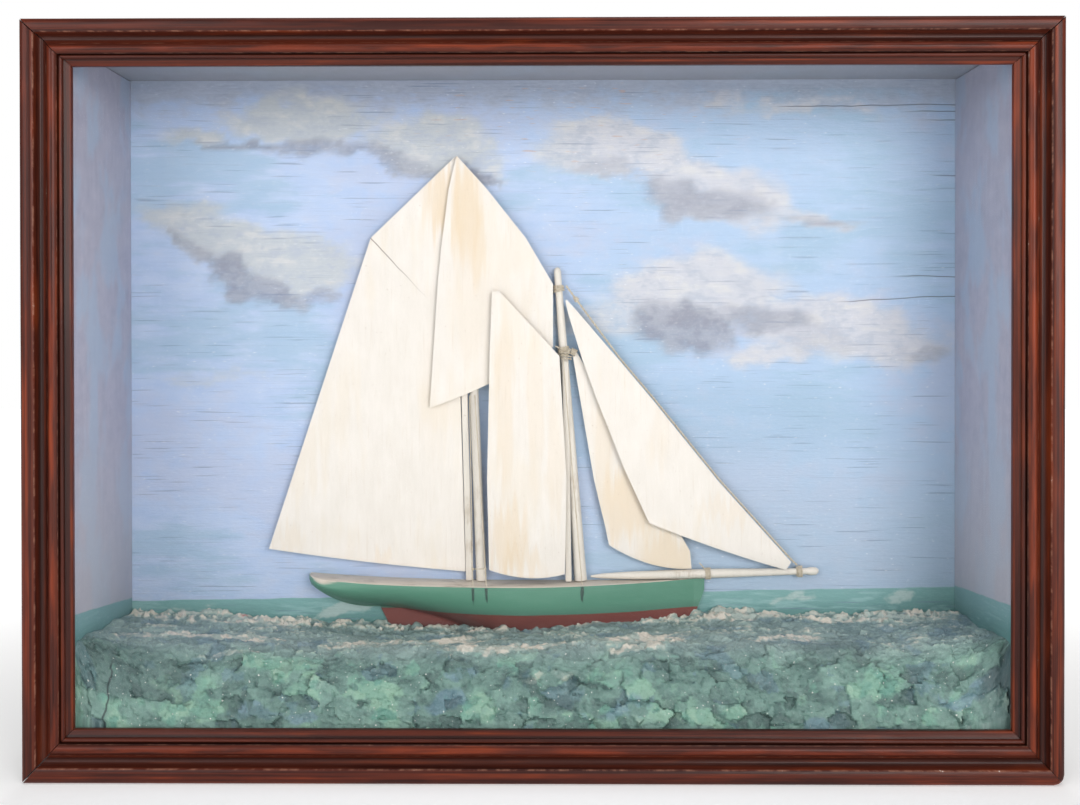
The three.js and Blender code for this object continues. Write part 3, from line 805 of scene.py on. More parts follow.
def sky(paint):
    """Colour of the painted sky on the board, and the relief of its brush strokes."""
    strokes = paint.noise(paint.drawn(0.2, 1), 0.085, 4.0, 0.62)
    daubs = paint.noise(paint.drawn(0.7, 1.1), 0.055, 4.0, 0.65)
    fine = paint.noise(paint.drawn(0.35, 1), 0.4, 2.0, 0.6)
    broad = paint.noise(paint.drawn(0.6, 1, 400.0), 0.0075, 2.0)
    right_side = paint.step(paint.x, -60, 160)
    blue = paint.mix(tone(166, 190, 226), tone(200, 212, 234), strokes * 0.6 + (daubs - 0.5) * 0.9 + 0.15)
    blue = paint.mix(blue, tone(166, 194, 220), right_side * 0.6)
    blue = paint.mix(blue, tone(158, 188, 210), paint.step(broad + (strokes - 0.5) * 0.4, 0.5, 0.36) * 0.6)
    rosy = paint.step(broad + (daubs - 0.5) * 0.5, 0.5, 0.68)
    blue = paint.mix(blue, tone(184, 192, 216), rosy * 0.5)
    blue = paint.mix(blue, tone(168, 186, 204), paint.step(paint.z, 330, 150) * right_side * 0.6)
    blue = paint.mix(blue, tone(152, 180, 204), paint.patch(paint.place, 130, 275, 190, 42, 0.9) * strokes)
    # painted shadow of the top rail: a greyer band along the top of the sky
    painted_rail_shadow = paint.step(paint.z + (daubs - 0.5) * 50 + (strokes - 0.5) * 40, 556, 588)
    blue = paint.mix(blue, paint.mix(tone(146, 152, 172), tone(182, 190, 206), strokes + (fine - 0.5)), painted_rail_shadow * 0.8)
    lit, shade = paint.attribute("lit"), paint.attribute("shaded")
    warm = paint.step(paint.x, -60, 60)
    light = paint.mix(tone(192, 197, 200), tone(204, 204, 210), warm)
    light = paint.mix(light, tone(176, 182, 194), paint.step(daubs + (fine - 0.5) * 0.5, 0.54, 0.32) * 0.6)
    light = paint.mix(light, tone(220, 217, 212), paint.step(daubs + (strokes - 0.5), 0.5, 0.74) * 0.55)
    deep = paint.mix(tone(158, 162, 176), tone(138, 141, 156), paint.step(daubs, 0.6, 0.4))
    thick = paint.step(lit + (daubs - 0.5) * 0.6 + (fine - 0.5) * 0.3, 0.02, 0.95)
    colour = paint.mix(blue, light, thick * 0.9)
    under = paint.step(shade + (daubs - 0.5) * 0.6 + (fine - 0.5) * 0.4, 0.12, 1.05)
    colour = paint.mix(colour, deep, under * 0.9)
    return colour, fine


# One line for each hair crack at the right of the board: height, left end, slope
CRACKS = [(565, 330, -2.0), (557, 348, -3.0), (571, 210, -1.0), (393, 268, -5.0), (411, 318, 0.5), (505, 352, 1.0)]


def hair_cracks(paint):
    """Fine open cracks along the grain, from the right edge of the board."""
    shake = paint.noise(paint.drawn(0.03, 0), 1.0, 2.0)
    cracks = 0.0
    for height, start, slope in CRACKS:
        line = height + (paint.x - INNER) * (-slope / 100) + (shake - 0.5) * 3
        open_part = paint.step(abs(paint.z - line), 0.55, 0.2)
        cracks = paint.largest(cracks, open_part * paint.step(paint.x, start, start + 30))
    short = paint.noise(paint.drawn(0.02, 1, 9.0), 1.1, 1.0)
    return paint.largest(cracks, paint.step(short, 0.76, 0.82) * 0.6)


# %% The back board
# One line for each painted foam crest: middle x and z, half length, half height, lean, strength
PAINTED_FOAM = [(-190, 98, 36, 7, 16, 1), (-168, 106, 18, 8, -8, 1), (-334, 100, 20, 4, 4, 0.7),
                (-300, 108, 30, 2, 0, 0.5), (232, 110, 26, 6, 8, 0.8), (334, 112, 20, 6, 8, 0.9)]


def board_finish():
    paint = Paint("sky_board")
    paint.lay_flat(paint.x, paint.z)
    bare, pores = stained_wood(paint, tone(120, 92, 66), tone(176, 146, 112), 0.8)
    paint.finish(bare, 0.55, (pores, 0.2))
    front = paint.step(paint.depth, BOARD_FRONT + 0.7, BOARD_FRONT + 0.3)
    front = front * paint.step(abs(paint.x), INNER + 7, INNER + 4)
    front = front * paint.step(paint.z, CEILING + 7, CEILING + 4) * paint.step(paint.z, FLOOR - 7, FLOOR - 4)
    paint.cover(front)
    colour, relief = sky(paint)
    dashes = paint.noise(paint.drawn(0.03, 1), 0.5, 1.0)
    grain_line = paint.noise(paint.drawn(0.012, 1), 0.9, 2.0)
    colour = paint.mix(colour, tone(118, 132, 158), paint.step(dashes, 0.668, 0.75) * 0.5)
    colour = paint.mix(colour, tone(150, 166, 192), paint.step(grain_line, 0.565, 0.76) * 0.3)
    colour = paint.mix(colour, tone(232, 234, 238), paint.flecks(0.7, 0.27, (0.3, 1, 1), 0.04) * 0.7)
    scuffs = paint.patch(paint.place, 30, 560, 150, 50) * paint.flecks(0.34, 0.31, (0.14, 1, 1), 0.06)
    colour = paint.mix(colour, tone(198, 168, 156), scuffs * 0.6)
    cracks = hair_cracks(paint)
    colour = paint.mix(colour, tone(72, 66, 74), cracks * 0.85)
    rough, relief = 0.48 + 0.14 * grain_line, (relief + grain_line * 0.5, 0.35)
    paint.finish(colour, rough, relief)
    horizon = 114.3 + 0.018 * paint.x
    paint.cover(front * paint.step(paint.z, horizon + 3.5, horizon + 3.2))
    sea, shown = sea_paint(paint, horizon)
    spray = paint.noise(paint.drawn(0.5, 1, 50.0), 0.2, 3.0, 0.65)
    foam = paint.step(paint.attribute("foam") + (spray - 0.5) * 1.2, 0.35, 0.9)
    sea = paint.mix(sea, tone(186, 204, 200), foam * 0.75)
    sea = paint.mix(sea, tone(118, 132, 158), paint.step(dashes, 0.668, 0.75) * 0.5)
    return paint.finish(paint.mix(colour, sea, shown), rough, relief)


def sky_mesh(cell):
    """The back board with a grid of points on its faces, which know how far the clouds cover them."""
    (left, front, foot), (right, back, top) = span("back_board")
    x, z = np.meshgrid(np.linspace(left, right, round((right - left) / cell)),
                       np.linspace(foot, top, round((top - foot) / cell)))
    sheet = np.column_stack([x.ravel(), np.full(x.size, front), z.ravel()])
    points = np.vstack([sheet, sheet + (0, back - front, 0)])
    made = bevel(make_piece("sky_board", points, plate_faces(*x.shape)), 0.6, 2)
    spots = np.array([(v.co.x / MM, v.co.z / MM) for v in made.data.vertices])
    cloudy = pushed(spots, [(40, 11), (15, 6), (7, 2.5)], 5)
    mark(made, "lit", cover(cloudy, LIT))
    mark(made, "shaded", cover(cloudy, SHADED))
    mark(made, "foam", cover(pushed(spots, [(12, 4)], 9), PAINTED_FOAM))
    return made


dress(sky_mesh(5.5), board_finish(), "sky_paint", "back_board")
print("strokes in the clouds", len(LIT) + len(SHADED), "cracks", len(CRACKS))

# %% [markdown]
# ## The lines of the hull
# A model builder works from lines, so the half breadth of the hull is a formula of the place along
# her and the height: a round counter, a straight sternpost, full sections amidships and a fine bow.
# The lines come before the sea, because the sea has to lap along them.
# %% The hull's lines
STERN, STERNPOST, KEEL_START, MIDSHIP, STEM, FOREFOOT = -216, -151, -138, -20, 151, 126
DECK, KEEL_CUT, TUCK = 128.2, 78, 103.4


def deck_line(x):
    return DECK + np.where(x < 0, 7 * np.abs(x / STERN) ** 2.5, 1.6 * (x / STEM) ** 2)


def bottom_line(x):
    counter = TUCK + 21 * clamp((STERNPOST - x) / (STERNPOST - STERN)) ** 2.6
    post = lerp(TUCK, KEEL_CUT, clamp((x - STERNPOST) / (KEEL_START - STERNPOST)))
    return np.where(x < STERNPOST, counter, post + 42 * clamp((x - FOREFOOT) / (STEM - FOREFOOT)) ** 1.8)


def half_breadth(x, z):
    aft = clamp((STERN + 20 - x) / 21)
    forward = clamp((x - MIDSHIP) / (STEM - MIDSHIP))
    plan = 35 * np.sqrt(1 - aft**2) * (1 - forward**1.6)
    rise = clamp((x - STERNPOST) / (MIDSHIP - STERNPOST)) ** 1.63
    lowest = np.where(x < STERNPOST, bottom_line(x), lerp(TUCK, 58, rise))
    down = clamp((deck_line(x) - z) / (deck_line(x) - lowest))
    lean = 0.12 * clamp((STERNPOST - x) / 50) * clamp(1 - down * 4)
    return np.maximum(3, plan * (1 - down**2.4) * (1 - lean))


print("half breadth amidships", half_breadth(np.array([-20.0]), 120.0).round(1))

# %% [markdown]
# ## The sea
# The sea is putty or plaster heaped in the case, pushed about with a knife and painted while the
# strokes still stood up. Its main form is one height formula: level behind, with a hollow that the
# hull lies in, heaped against the walls and falling over a rounded shoulder to the glass. The strokes
# are far too many to place by hand, so Geometry Nodes raise them from noise and cells along the
# surface: long low crests on the level part, round dabs on the steep front. The tree also leaves
# the height of each stroke behind for the paint, so that foam sits on the crests.
# %% The sea's main form
SEA_LEVEL, SEA_FOOT, SEA_FRONT = 94.5, 37, 22
WATER_AT_HULL = 88
BACK = BOARD_FRONT - 0.3


# One line for each curl of foam along the hull: x, half width, height
CURLS = [(-117, 4.5, 5), (-72, 5, 5), (-54, 7, 4), (-36, 5, 4.5), (-26, 4, 3.5), (-16, 4.5, 4), (-6, 4, 3), (12, 8, 3)]


def sea_height(x, depth):
    near_wall = np.exp(-(INNER - np.abs(x)) / 30)
    fall = (1 - clamp((depth - SEA_FRONT) / lerp(44, 14, near_wall))) ** 2.2
    heap = lerp(13, 3.5, depth / BOARD_FRONT) * near_wall
    from_back = BOARD_FRONT - depth
    hollow = 11.5 * bell((x + 95) / 140) * bell(from_back / 90)
    bow = 4.5 * bell((x - 178) / 28) * bell(from_back / 40)
    waves = 0.9 * np.sin(x / 7.5 + depth / 5) * np.sin(depth / 9 + x / 60)
    waves += 1.2 * np.sin(x / 25 + depth / 11) + 0.9 * np.sin(x / 13 - depth / 8 + 1.3)
    for curl_x, size, rise in CURLS:
        at = BOARD_FRONT - half_breadth(np.array([curl_x]), WATER_AT_HULL)[0] - size * 0.7
        waves = waves + rise * bell((x - curl_x) / size) ** 1.5 * bell((depth - at) / size) ** 1.5
    return SEA_LEVEL + heap + bow - hollow - (SEA_LEVEL - SEA_FOOT) * fall + waves * (1 - 0.6 * fall)


def sea_mesh(columns, rows):
    """The sea as rings from left to right; each point knows its run over the surface from the glass."""
    step_in = np.linspace(0, 1, 400)
    depths = lerp(SEA_FRONT, BACK, step_in)
    profile = sea_height(np.zeros(400), depths)
    lengths = np.concatenate([[0], np.cumsum(np.hypot(np.diff(depths), np.diff(profile)))])
    run = np.linspace(0, lengths[-1], rows)
    at_depth = np.interp(run, lengths, depths)
    rings, runs, free = [], [], []
    for x in np.linspace(-INNER + 0.3, INNER - 0.3, columns):
        surface = np.column_stack([np.full(rows, x), at_depth, sea_height(np.full(rows, x), at_depth)])
        ends = [[x, SEA_FRONT, FLOOR + 0.3]], [[x, BACK, FLOOR + 0.3]]
        rings.append(np.vstack([ends[0], surface, ends[1]]))
        runs.append(np.concatenate([[0], run, [run[-1]]]))
        inside = clamp((INNER - 0.3 - abs(x)) / 4) * clamp((BACK - at_depth) / 1.5) * clamp(run / 2)
        free.append(np.concatenate([[0], inside, [0]]))
    sea = make_piece("putty_sea", np.vstack(rings), loft_faces(columns, rows + 2), 60)
    mark(sea, "run", np.concatenate(runs))
    mark(sea, "free", np.concatenate(free))
    return sea


sea = sea_mesh(600, 158)
print("sea faces", len(sea.data.polygons), "highest", round(max(v.co.z for v in sea.data.vertices) / MM, 1))


# %% Geometry Nodes helper
class Growth(Maker):
    """A Geometry Nodes tree with named inputs, ending in Realize Instances and Set Material."""

    KINDS = {float: "NodeSocketFloat", int: "NodeSocketInt"}

    def __init__(self, name, **sizes):
        group = bpy.data.node_groups.new(name, "GeometryNodeTree")
        super().__init__(group)
        group.interface.new_socket("Geometry", in_out="INPUT", socket_type="NodeSocketGeometry")
        group.interface.new_socket("Geometry", in_out="OUTPUT", socket_type="NodeSocketGeometry")
        self.identifiers = {}
        self.sizes = sizes
        for title, size in sizes.items():
            made = group.interface.new_socket(title, in_out="INPUT", socket_type=self.KINDS[type(size)])
            self.identifiers[title] = made.identifier
        self.source = group.nodes.new("NodeGroupInput")
        self.geometry = self[0]

    def __getitem__(self, key):
        return Socket(self, self.find(self.source.outputs, key))

    def named(self, name):
        settings = {"data_type": "FLOAT"}
        return self.node("GeometryNodeInputNamedAttribute", settings, {"Name": name}, "Attribute")

    def close(self, geometry, material):
        """Ends the tree."""
        real = self.node("GeometryNodeRealizeInstances", None, {"Geometry": geometry})
        painted = self.node("GeometryNodeSetMaterial", None, {"Geometry": real, "Material": material})
        target = self.tree.nodes.new("NodeGroupOutput").inputs[0]
        self.tree.links.new(painted.socket, target)

    def grow(self, piece, **changes):
        """Runs the tree on a piece, and leaves a plain mesh in its place."""
        modifier = piece.modifiers.new(self.tree.name, "NODES")
        modifier.node_group = self.tree
        for title, size in {**self.sizes, **changes}.items():
            modifier[self.identifiers[title]] = size
        graph = bpy.context.evaluated_depsgraph_get()
        mesh = bpy.data.meshes.new_from_object(piece.evaluated_get(graph))
        piece.modifiers.remove(modifier)
        mesh.name = piece.name
        piece.data = mesh
        return piece


# %% Paint for the sea
# One line for each patch of colour: x, run up from the glass, half length, half width, lean, strength
FOAM = [
    (-272, 145, 39, 8, 0, 0.9),
    (-254, 159, 17, 8, 0, 1.0),
    (-295, 92, 75, 7, 0, 0.9),
    (-35, 69, 54, 9, 10, 0.9),
    (-63, 107, 35, 13, 0, 0.7),
    (172, 154, 33, 14, 0, 0.9),
    (84, 88, 42, 12, 12, 0.7),
    (-139, 86, 42, 13, 0, 0.6),
    (15, 49, 20, 6, 0, 0.8),
    (-11, 42, 9, 6, 0, 1.0),
    (213, 87, 42, 10, 0, 0.6),
    (300, 150, 60, 6, 0, 0.7),
    (-261, 60, 41, 4, 8, 0.7),
    (82, 62, 33, 6, 0, 0.7),
]
MINT = [
    (-280, 21, 28, 14, 0, 0.9),
    (-302, 30, 20, 9, 0, 0.7),
    (-137, 31, 18, 12, 0, 0.8),
    (-199, 31, 16, 9, 0, 0.6),
    (97, 23, 32, 15, 0, 0.6),
    (276, 31, 22, 12, 0, 0.9),
    (39, 10, 32, 8, 0, 0.7),
    (129, 11, 48, 8, 0, 0.7),
    (-42, 23, 11, 8, 0, 0.6),
]
BLUE = [
    (-75, 23, 18, 11, 0, 0.9),
    (224, 9, 12, 9, 0, 0.8),
    (345, 18, 27, 7, 0, 0.8),
    (-234, 13, 24, 10, 0, 0.7),
    (64, 17, 19, 8, 0, 0.7),
    (-59, 44, 18, 8, 0, 0.6),
    (-197, 8, 19, 7, 0, 0.6),
]
DEEP = [
    (-336, 38, 50, 23, 0, 0.8),
    (-352, 54, 35, 17, 0, 0.7),
    (250, 66, 35, 16, 0, 0.8),
    (15, 23, 20, 10, 0, 0.5),
    (372, 12, 15, 14, 0, 0.8),
    (-176, 52, 33, 9, 0, 0.5),
]


runs = np.empty(len(sea.data.vertices), np.float32)
sea.data.attributes["run"].data.foreach_get("value", runs)
spots = np.column_stack([[v.co.x / MM for v in sea.data.vertices], runs])
spots = pushed(spots, [(24, 7), (9, 3.5), (4, 1.5)], 31)
for name, rows in {"foam": FOAM, "mint": MINT, "blue": BLUE, "deep": DEEP}.items():
    mark(sea, name, cover(spots, rows))


def sea_finish():
    paint = Paint("sea_paint")
    lift, run = paint.attribute("lift"), paint.attribute("run")
    stroke, dab, crest = paint.attribute("stroke"), paint.attribute("dab"), paint.attribute("crest")
    paint.lay_flat(paint.x, run)
    level = paint.step(run, 46, 74)
    mottle = paint.noise(paint.place, 0.06, 4.0, 0.65)
    fine = paint.noise(paint.drawn(0.8, 1), 0.3, 4.0, 0.65)
    number = stroke * 0.55 + dab * 0.45
    low_sea = paint.mix(tone(74, 104, 100), tone(132, 168, 156), number * 0.6 + (mottle - 0.5) * 1.2 + 0.2)
    high_sea = paint.mix(tone(100, 124, 124), tone(158, 178, 174), number * 0.6 + (mottle - 0.5) + 0.2)
    colour = paint.mix(low_sea, high_sea, level)

    def daubed(name, reach):
        return paint.step(paint.attribute(name) + (number - 0.5) * reach, 0.25, 0.8)

    scattered = paint.noise(paint.drawn(1, 1, 300.0), 0.03, 3.0, 0.6) + (stroke - 0.5) * 0.25
    mint = paint.largest(daubed("mint", 0.9), paint.step(scattered, 0.57, 0.7) * (1 - level))
    colour = paint.mix(colour, paint.mix(tone(104, 164, 146), tone(156, 196, 168), dab), mint * 0.6)
    blue = paint.largest(daubed("blue", 0.7), paint.step(scattered, 0.4, 0.34) * 0.6)
    colour = paint.mix(colour, paint.mix(tone(80, 116, 138), tone(118, 144, 168), dab), blue * 0.55)
    colour = paint.mix(colour, tone(72, 92, 94), daubed("deep", 0.8) * 0.5)
    # painted shade in the hollows between strokes, and painted highlight on the raised strokes
    colour = paint.mix(colour, tone(52, 70, 72), paint.step(lift, -0.1, -0.75) * 0.5)
    colour = paint.mix(colour, tone(176, 200, 184), paint.step(lift + (fine - 0.5) * 0.5, 0.45, 1.1) * 0.45)
    streaks = crest * 0.6 + (fine - 0.5) * 0.9 + lift * 0.25
    streaks = paint.step(streaks + paint.attribute("foam"), 0.5, 1.05)
    cream = paint.mix(tone(176, 188, 180), tone(222, 212, 198), paint.step(dab + fine * 0.5, 0.5, 1.0))
    colour = paint.mix(colour, cream, streaks * (0.35 + 0.55 * level))
    colour = paint.mix(colour, tone(232, 232, 226), paint.flecks(0.42, 0.255, soft=0.02) * 0.85)
    colour = paint.mix(colour, tone(196, 118, 110), paint.patch(paint.place, -276, 158, 4, 3) * 0.8)
    split = paint.noise(paint.drawn(0, 1), 0.12, 1.0)
    crack = paint.step(abs(paint.x + 356 + (split - 0.5) * 9), 1.3, 0.3) * paint.step(run, 44, 34)
    colour = paint.mix(colour, tone(40, 50, 54), crack * 0.8)
    rough = 0.3 + 0.3 * fine
    return paint.finish(colour, rough, (fine, 1.8), Coat_Weight=0.1, Coat_Roughness=0.2)


sea_paint_material = sea_finish()


# %% Raising the strokes
def stroke_tree(material):
    """Raises strokes of putty along the normals, and leaves their height and numbers behind."""
    tree = Growth("putty_strokes", Stroke=15.0, Tilt=0.22, Crest=2.6, Grit=1.2, Seed=4.0)
    metres = tree.node("GeometryNodeInputPosition")
    x = tree.apart(metres)[0] * (1 / MM)
    run, free = tree.named("run"), tree.named("free")
    level = tree.step(run, 46, 76)

    def surface(along, up, shift):
        return tree.node("ShaderNodeCombineXYZ", None, (x * along + tree["Seed"] * 31 + shift, run * up, 0.0))

    def strokes(place, size, tilt):
        """Flat strokes side by side: each cell is a small plane with a slope and a level of its own."""
        kind = {"feature": "F1", "voronoi_dimensions": "2D"}
        centre = tree.node("ShaderNodeTexVoronoi", kind, {"Vector": place, "Scale": 1 / size}, "Position")
        colour = Socket(tree, tree.find(centre.socket.node.outputs, "Color"))
        offset = tree.node("ShaderNodeVectorMath", {"operation": "SUBTRACT"}, (place, centre))
        slope = tree.node("ShaderNodeVectorMath", {"operation": "SUBTRACT"}, (colour, (0.5, 0.5, 0.5)))
        lean = tree.node("ShaderNodeVectorMath", {"operation": "DOT_PRODUCT"}, (offset, slope), "Value")
        number = tree.apart(colour)[2]
        return lean * tilt * 2 + (number - 0.5) * size * tilt * 0.55, number

    big, stroke = strokes(tree.warp(surface(0.75, 1.0, 0.0), 0.07, 16.0), tree["Stroke"], tree["Tilt"])
    middle, dab = strokes(tree.warp(surface(0.85, 1.0, 50.0), 0.16, 7.0), tree["Stroke"] * 0.42, tree["Tilt"])
    small, _ = strokes(tree.warp(surface(1.0, 1.0, 90.0), 0.4, 3.0), tree["Stroke"] * 0.2, tree["Tilt"] * 1.3)
    long_place = tree.warp(surface(0.34, 1.0, 0.0), 0.06, 18.0)
    ridge = 1 - abs(tree.noise(long_place, 0.06, 3.0, 0.6) * 2 - 1) * 3.2
    where = tree.step(tree.noise(surface(0.5, 1.0, 60.0), 0.024, 1.0), 0.34, 0.62)
    crest = tree.largest(ridge, -0.7) * (0.3 + 0.7 * where)
    grit = (tree.noise(surface(0.8, 1.0, 33.0), 0.3, 4.0, 0.65) - 0.5) * tree["Grit"] * 2
    at_board = tree.step(run, 132, 156)
    lumps = tree.noise(tree.warp(surface(0.7, 1.0, 140.0), 0.2, 5.0), 0.11, 2.0, 0.6)
    heaped = at_board * tree.step(lumps, 0.42, 0.66) * tree["Crest"] * 1.7
    height = big * (1 - level * 0.5) + middle + small + crest * tree["Crest"] * level + grit + heaped
    marked = tree.geometry
    marks = {"lift": height / 3.0, "stroke": stroke, "dab": dab, "crest": crest * level + heaped / 3.0}
    for name, value in marks.items():
        values = {"Geometry": marked, "Name": name, "Value": value}
        marked = tree.node("GeometryNodeStoreNamedAttribute", {"data_type": "FLOAT", "domain": "POINT"}, values)
    normal = tree.node("GeometryNodeInputNormal")
    offset = tree.node("ShaderNodeVectorMath", {"operation": "SCALE"}, {"Vector": normal, "Scale": height * free * MM})
    tree.close(tree.node("GeometryNodeSetPosition", None, {"Geometry": marked, "Offset": offset}), material)
    return tree


stroke_tree(sea_paint_material).grow(sea)
sea.data.shade_smooth()
sea.data.set_sharp_from_angle(angle=math.radians(50))
dress(sea, None, "sea_putty", "modelled_sea")
print("sea triangles", sum(len(p.vertices) - 2 for p in sea.data.polygons))

# %% [markdown]
# ## The hull
# The hull is the starboard half of a schooner, carved from one block and screwed to the board from
# behind. It could be sculpted, but a skin through the lines above keeps the sheer and the bilge
# fair. The block is painted green above the waterline and brown-red below, and the deck is a dirty
# cream with a thin rubbed edge.
# %% The carved hull
def hull_mesh():
    stations = np.concatenate([
        STERN + 20 * (np.linspace(0, 1, 14) ** 1.6),
        np.linspace(STERN + 22, STERNPOST, 24),
        np.linspace(STERNPOST + 1, KEEL_START, 8),
        np.linspace(KEEL_START + 3, FOREFOOT, 70),
        np.linspace(FOREFOOT + 1, STEM, 22),
    ])
    sides = 30
    rings = []
    for x in stations:
        t = np.linspace(0, 1, sides) ** 1.15
        z = lerp(deck_line(x), bottom_line(x), t)
        out = half_breadth(np.full(sides, x), z)
        out += 0.16 * wander(np.column_stack([np.full(sides, x), z]), (26, 12), 5)
        skin = np.column_stack([np.full(sides, x), BOARD_FRONT - out, z])
        rim = skin[0] + [(0, 1.1, 0.5), (0, 2.2, 0.5), (0, 3.0, -0.4)]
        rim[:, 1] = np.minimum(rim[:, 1], BACK - 0.2)
        deck = np.array([[x, lerp(rim[-1][1], BACK, s), deck_line(x) - 0.4] for s in (0.3, 0.65, 1)])
        rings.append(np.vstack([deck[::-1], rim[::-1], skin, [[x, BACK, bottom_line(x)]]]))
    return make_piece("carved_hull", np.vstack(rings), loft_faces(len(stations), len(rings[0])), 40)


def hull_finish():
    paint = Paint("hull_paint")
    strokes = paint.noise(paint.stretch(paint.place, (0.16, 1, 1)), 0.22, 4.0, 0.6)
    broad = paint.noise(paint.stretch(paint.place, (0.5, 1, 1)), 0.018, 2.0)
    green = paint.mix(tone(70, 128, 104), tone(100, 152, 130), strokes * 0.6 + broad * 0.5)
    # painted shade: the green is darker low on the topsides, where the hull turns under
    painted_bilge_shade = paint.step(paint.z + (broad - 0.5) * 6, 112, 101)
    green = paint.mix(green, tone(78, 112, 100), painted_bilge_shade * 0.55)
    red = paint.mix(tone(112, 54, 50), tone(138, 74, 66), strokes)
    fade = paint.step(paint.z + (strokes - 0.5) * 6, 92, 84)
    red = paint.mix(red, tone(96, 74, 72), fade * 0.4)
    waterline = 102.2 + (strokes - 0.5) * 1.0 + paint.step(paint.x, 60, 150) * 1.5
    colour = paint.mix(red, green, paint.step(paint.z, waterline - 0.25, waterline + 0.25))
    for x in (-62.6, -50.4, 36.4):
        drip = paint.noise(paint.stretch(paint.place, (1, 1, 0.2)), 0.4, 2.0)
        mark_x = paint.step(abs(paint.x - x + (drip - 0.5) * 3), 1.7, 0.6)
        mark_z = paint.step(paint.z + (drip - 0.5) * 14, 111, 116) * paint.step(paint.z, 128.6, 127.4)
        colour = paint.mix(colour, tone(44, 58, 56), mark_x * mark_z * 0.85)
    dust = paint.noise(paint.stretch(paint.place, (0.4, 1, 1)), 0.12, 5.0, 0.65)
    deck = paint.mix(tone(196, 184, 170), tone(240, 230, 216), dust)
    deck = paint.mix(deck, tone(132, 114, 100), paint.step(dust, 0.42, 0.32) * 0.6)
    up = paint.apart(paint.node("ShaderNodeNewGeometry", None, (), "Normal"))[2]
    on_deck = paint.step(up, 0.35, 0.6) * paint.step(paint.z, 126, 127.2)
    edge = paint.noise(paint.stretch(paint.place, (0.3, 1, 1)), 0.3, 3.0)
    colour = paint.mix(colour, deck, on_deck)
    rubbed = paint.step(paint.depth, 150, 146) * paint.step(up, 0.2, 0.45) * paint.step(up, 0.98, 0.8)
    colour = paint.mix(colour, tone(214, 204, 188), rubbed * on_deck * 0.5)
    colour = paint.mix(colour, tone(72, 62, 54), paint.flecks(0.9, 0.23) * 0.7)
    rough = 0.42 + 0.3 * on_deck + 0.1 * strokes
    return paint.finish(colour, rough, (strokes + edge * 0.6, 0.16), Coat_Weight=0.08)


hull = dress(hull_mesh(), hull_finish(), "hull_paint", "hull")
print("hull long", round(STEM - STERN), "mm, faces", len(hull.data.polygons))

# %% [markdown]
# ## The sails
# Each sail is a thin board, whittled to a slight belly and painted cream; damp has since brought
# tan stains up through the paint. A plane with thickness would do for the shape, but the curved edges
# matter: they are what the eye reads as canvas. So each sail is a sheet between two lists of edge
# points, like a sail loft's offsets, with a bowed foot and a hollow back. The stains are soft
# patches with runs below them, placed where the old damp got in.
# %% Sail offsets
SAIL_THICKNESS = 3.2
JIB_LUFF = [(229.9, 146.9), (162.4, 221.9), (101.4, 297.7), (71, 333.7), (32.3, 378.9)]
SAILS = {
    "mainsail": {
        "left": [(-253, 159), (-158.4, 446.7), (-80.7, 521.6)],
        "right": [(-71.2, 137.2), (-79.8, 446.7), (-79.7, 521.6)],
        "depths": (147.5, 151.3, 152.3, 152.3),
        "belly": 0.4,
        "foot": 1.5,
        "stains": [(-92, 480, 17, 34, 0.9), (-147, 150, 9, 9, 0.35), (-232, 172, 14, 14, 0.3), (-100, 300, 16, 60, 0.15)],
    },
    "fisherman": {
        "left": [(-103.5, 290), (-95.8, 407.6), (-92.5, 440), (-86, 491), (-79, 521.8)],
        "right": [(10.2, 345.8), (10.2, 403.9), (-14.7, 446.3), (-50.6, 491.5), (-78, 521.8)],
        "depths": (145.2, 147, 148.9, 148),
        "belly": 0.2,
        "foot": 5,
        "stains": [(-70, 474, 14, 44, 0.95), (-58, 440, 7, 36, 0.6), (-79, 452, 5, 40, 0.5), (-66, 385, 20, 60, 0.25)],
    },
    "foresail": {
        "left": [(-48.6, 141.5), (-50.4, 224), (-47.8, 343.2), (-45.7, 396.4)],
        "right": [(20.8, 136.8), (22.5, 223.5), (16, 337.5), (-39.3, 397.2)],
        "depths": (139, 139.8, 142.3, 140),
        "belly": 2,
        "foot": 5,
        "stains": [(-32, 172, 18, 30, 0.7), (-18, 150, 20, 14, 0.5), (-34, 300, 8, 90, 0.45), (-6, 290, 7, 80, 0.3),
                   (12, 240, 8, 60, 0.3)],
    },
    "staysail": {
        "left": [(61.9, 162.3), (58.5, 179), (48.1, 222.5), (28.3, 339)],
        "right": [(138.5, 140.2), (137, 156.5), (112, 200), (32.5, 340.5)],
        "depths": (149.5, 150.6, 151.6, 150.8),
        "belly": 0.8,
        "foot": 6.5,
        "stains": [(80, 200, 30, 34, 0.8), (118, 150, 30, 26, 0.75), (58, 260, 12, 60, 0.4)],
    },
    "jib": {
        "left": [(98.6, 184), (96.8, 187.6), (75.2, 234.7), (50, 299), (37.3, 333.7), (24.3, 376), (21.6, 388.4)],
        "right": [(225.3, 139.5), *JIB_LUFF, (22.8, 389.4)],
        "depths": (141, 146, 148.2, 146),
        "belly": 0.6,
        "foot": 1.8,
        "stains": [(172, 196, 30, 12, 0.3), (110, 262, 10, 30, 0.18)],
    },
}


def refine(stations, per_part):
    """Stations with extra ones between them, so many for each part."""
    stations = np.array(stations, float)
    t = np.concatenate([np.arange(n) / n + i for i, n in enumerate(per_part)] + [[len(per_part)]])
    return np.column_stack([np.interp(t, np.arange(len(stations)), stations[:, k]) for k in (0, 1)]), t


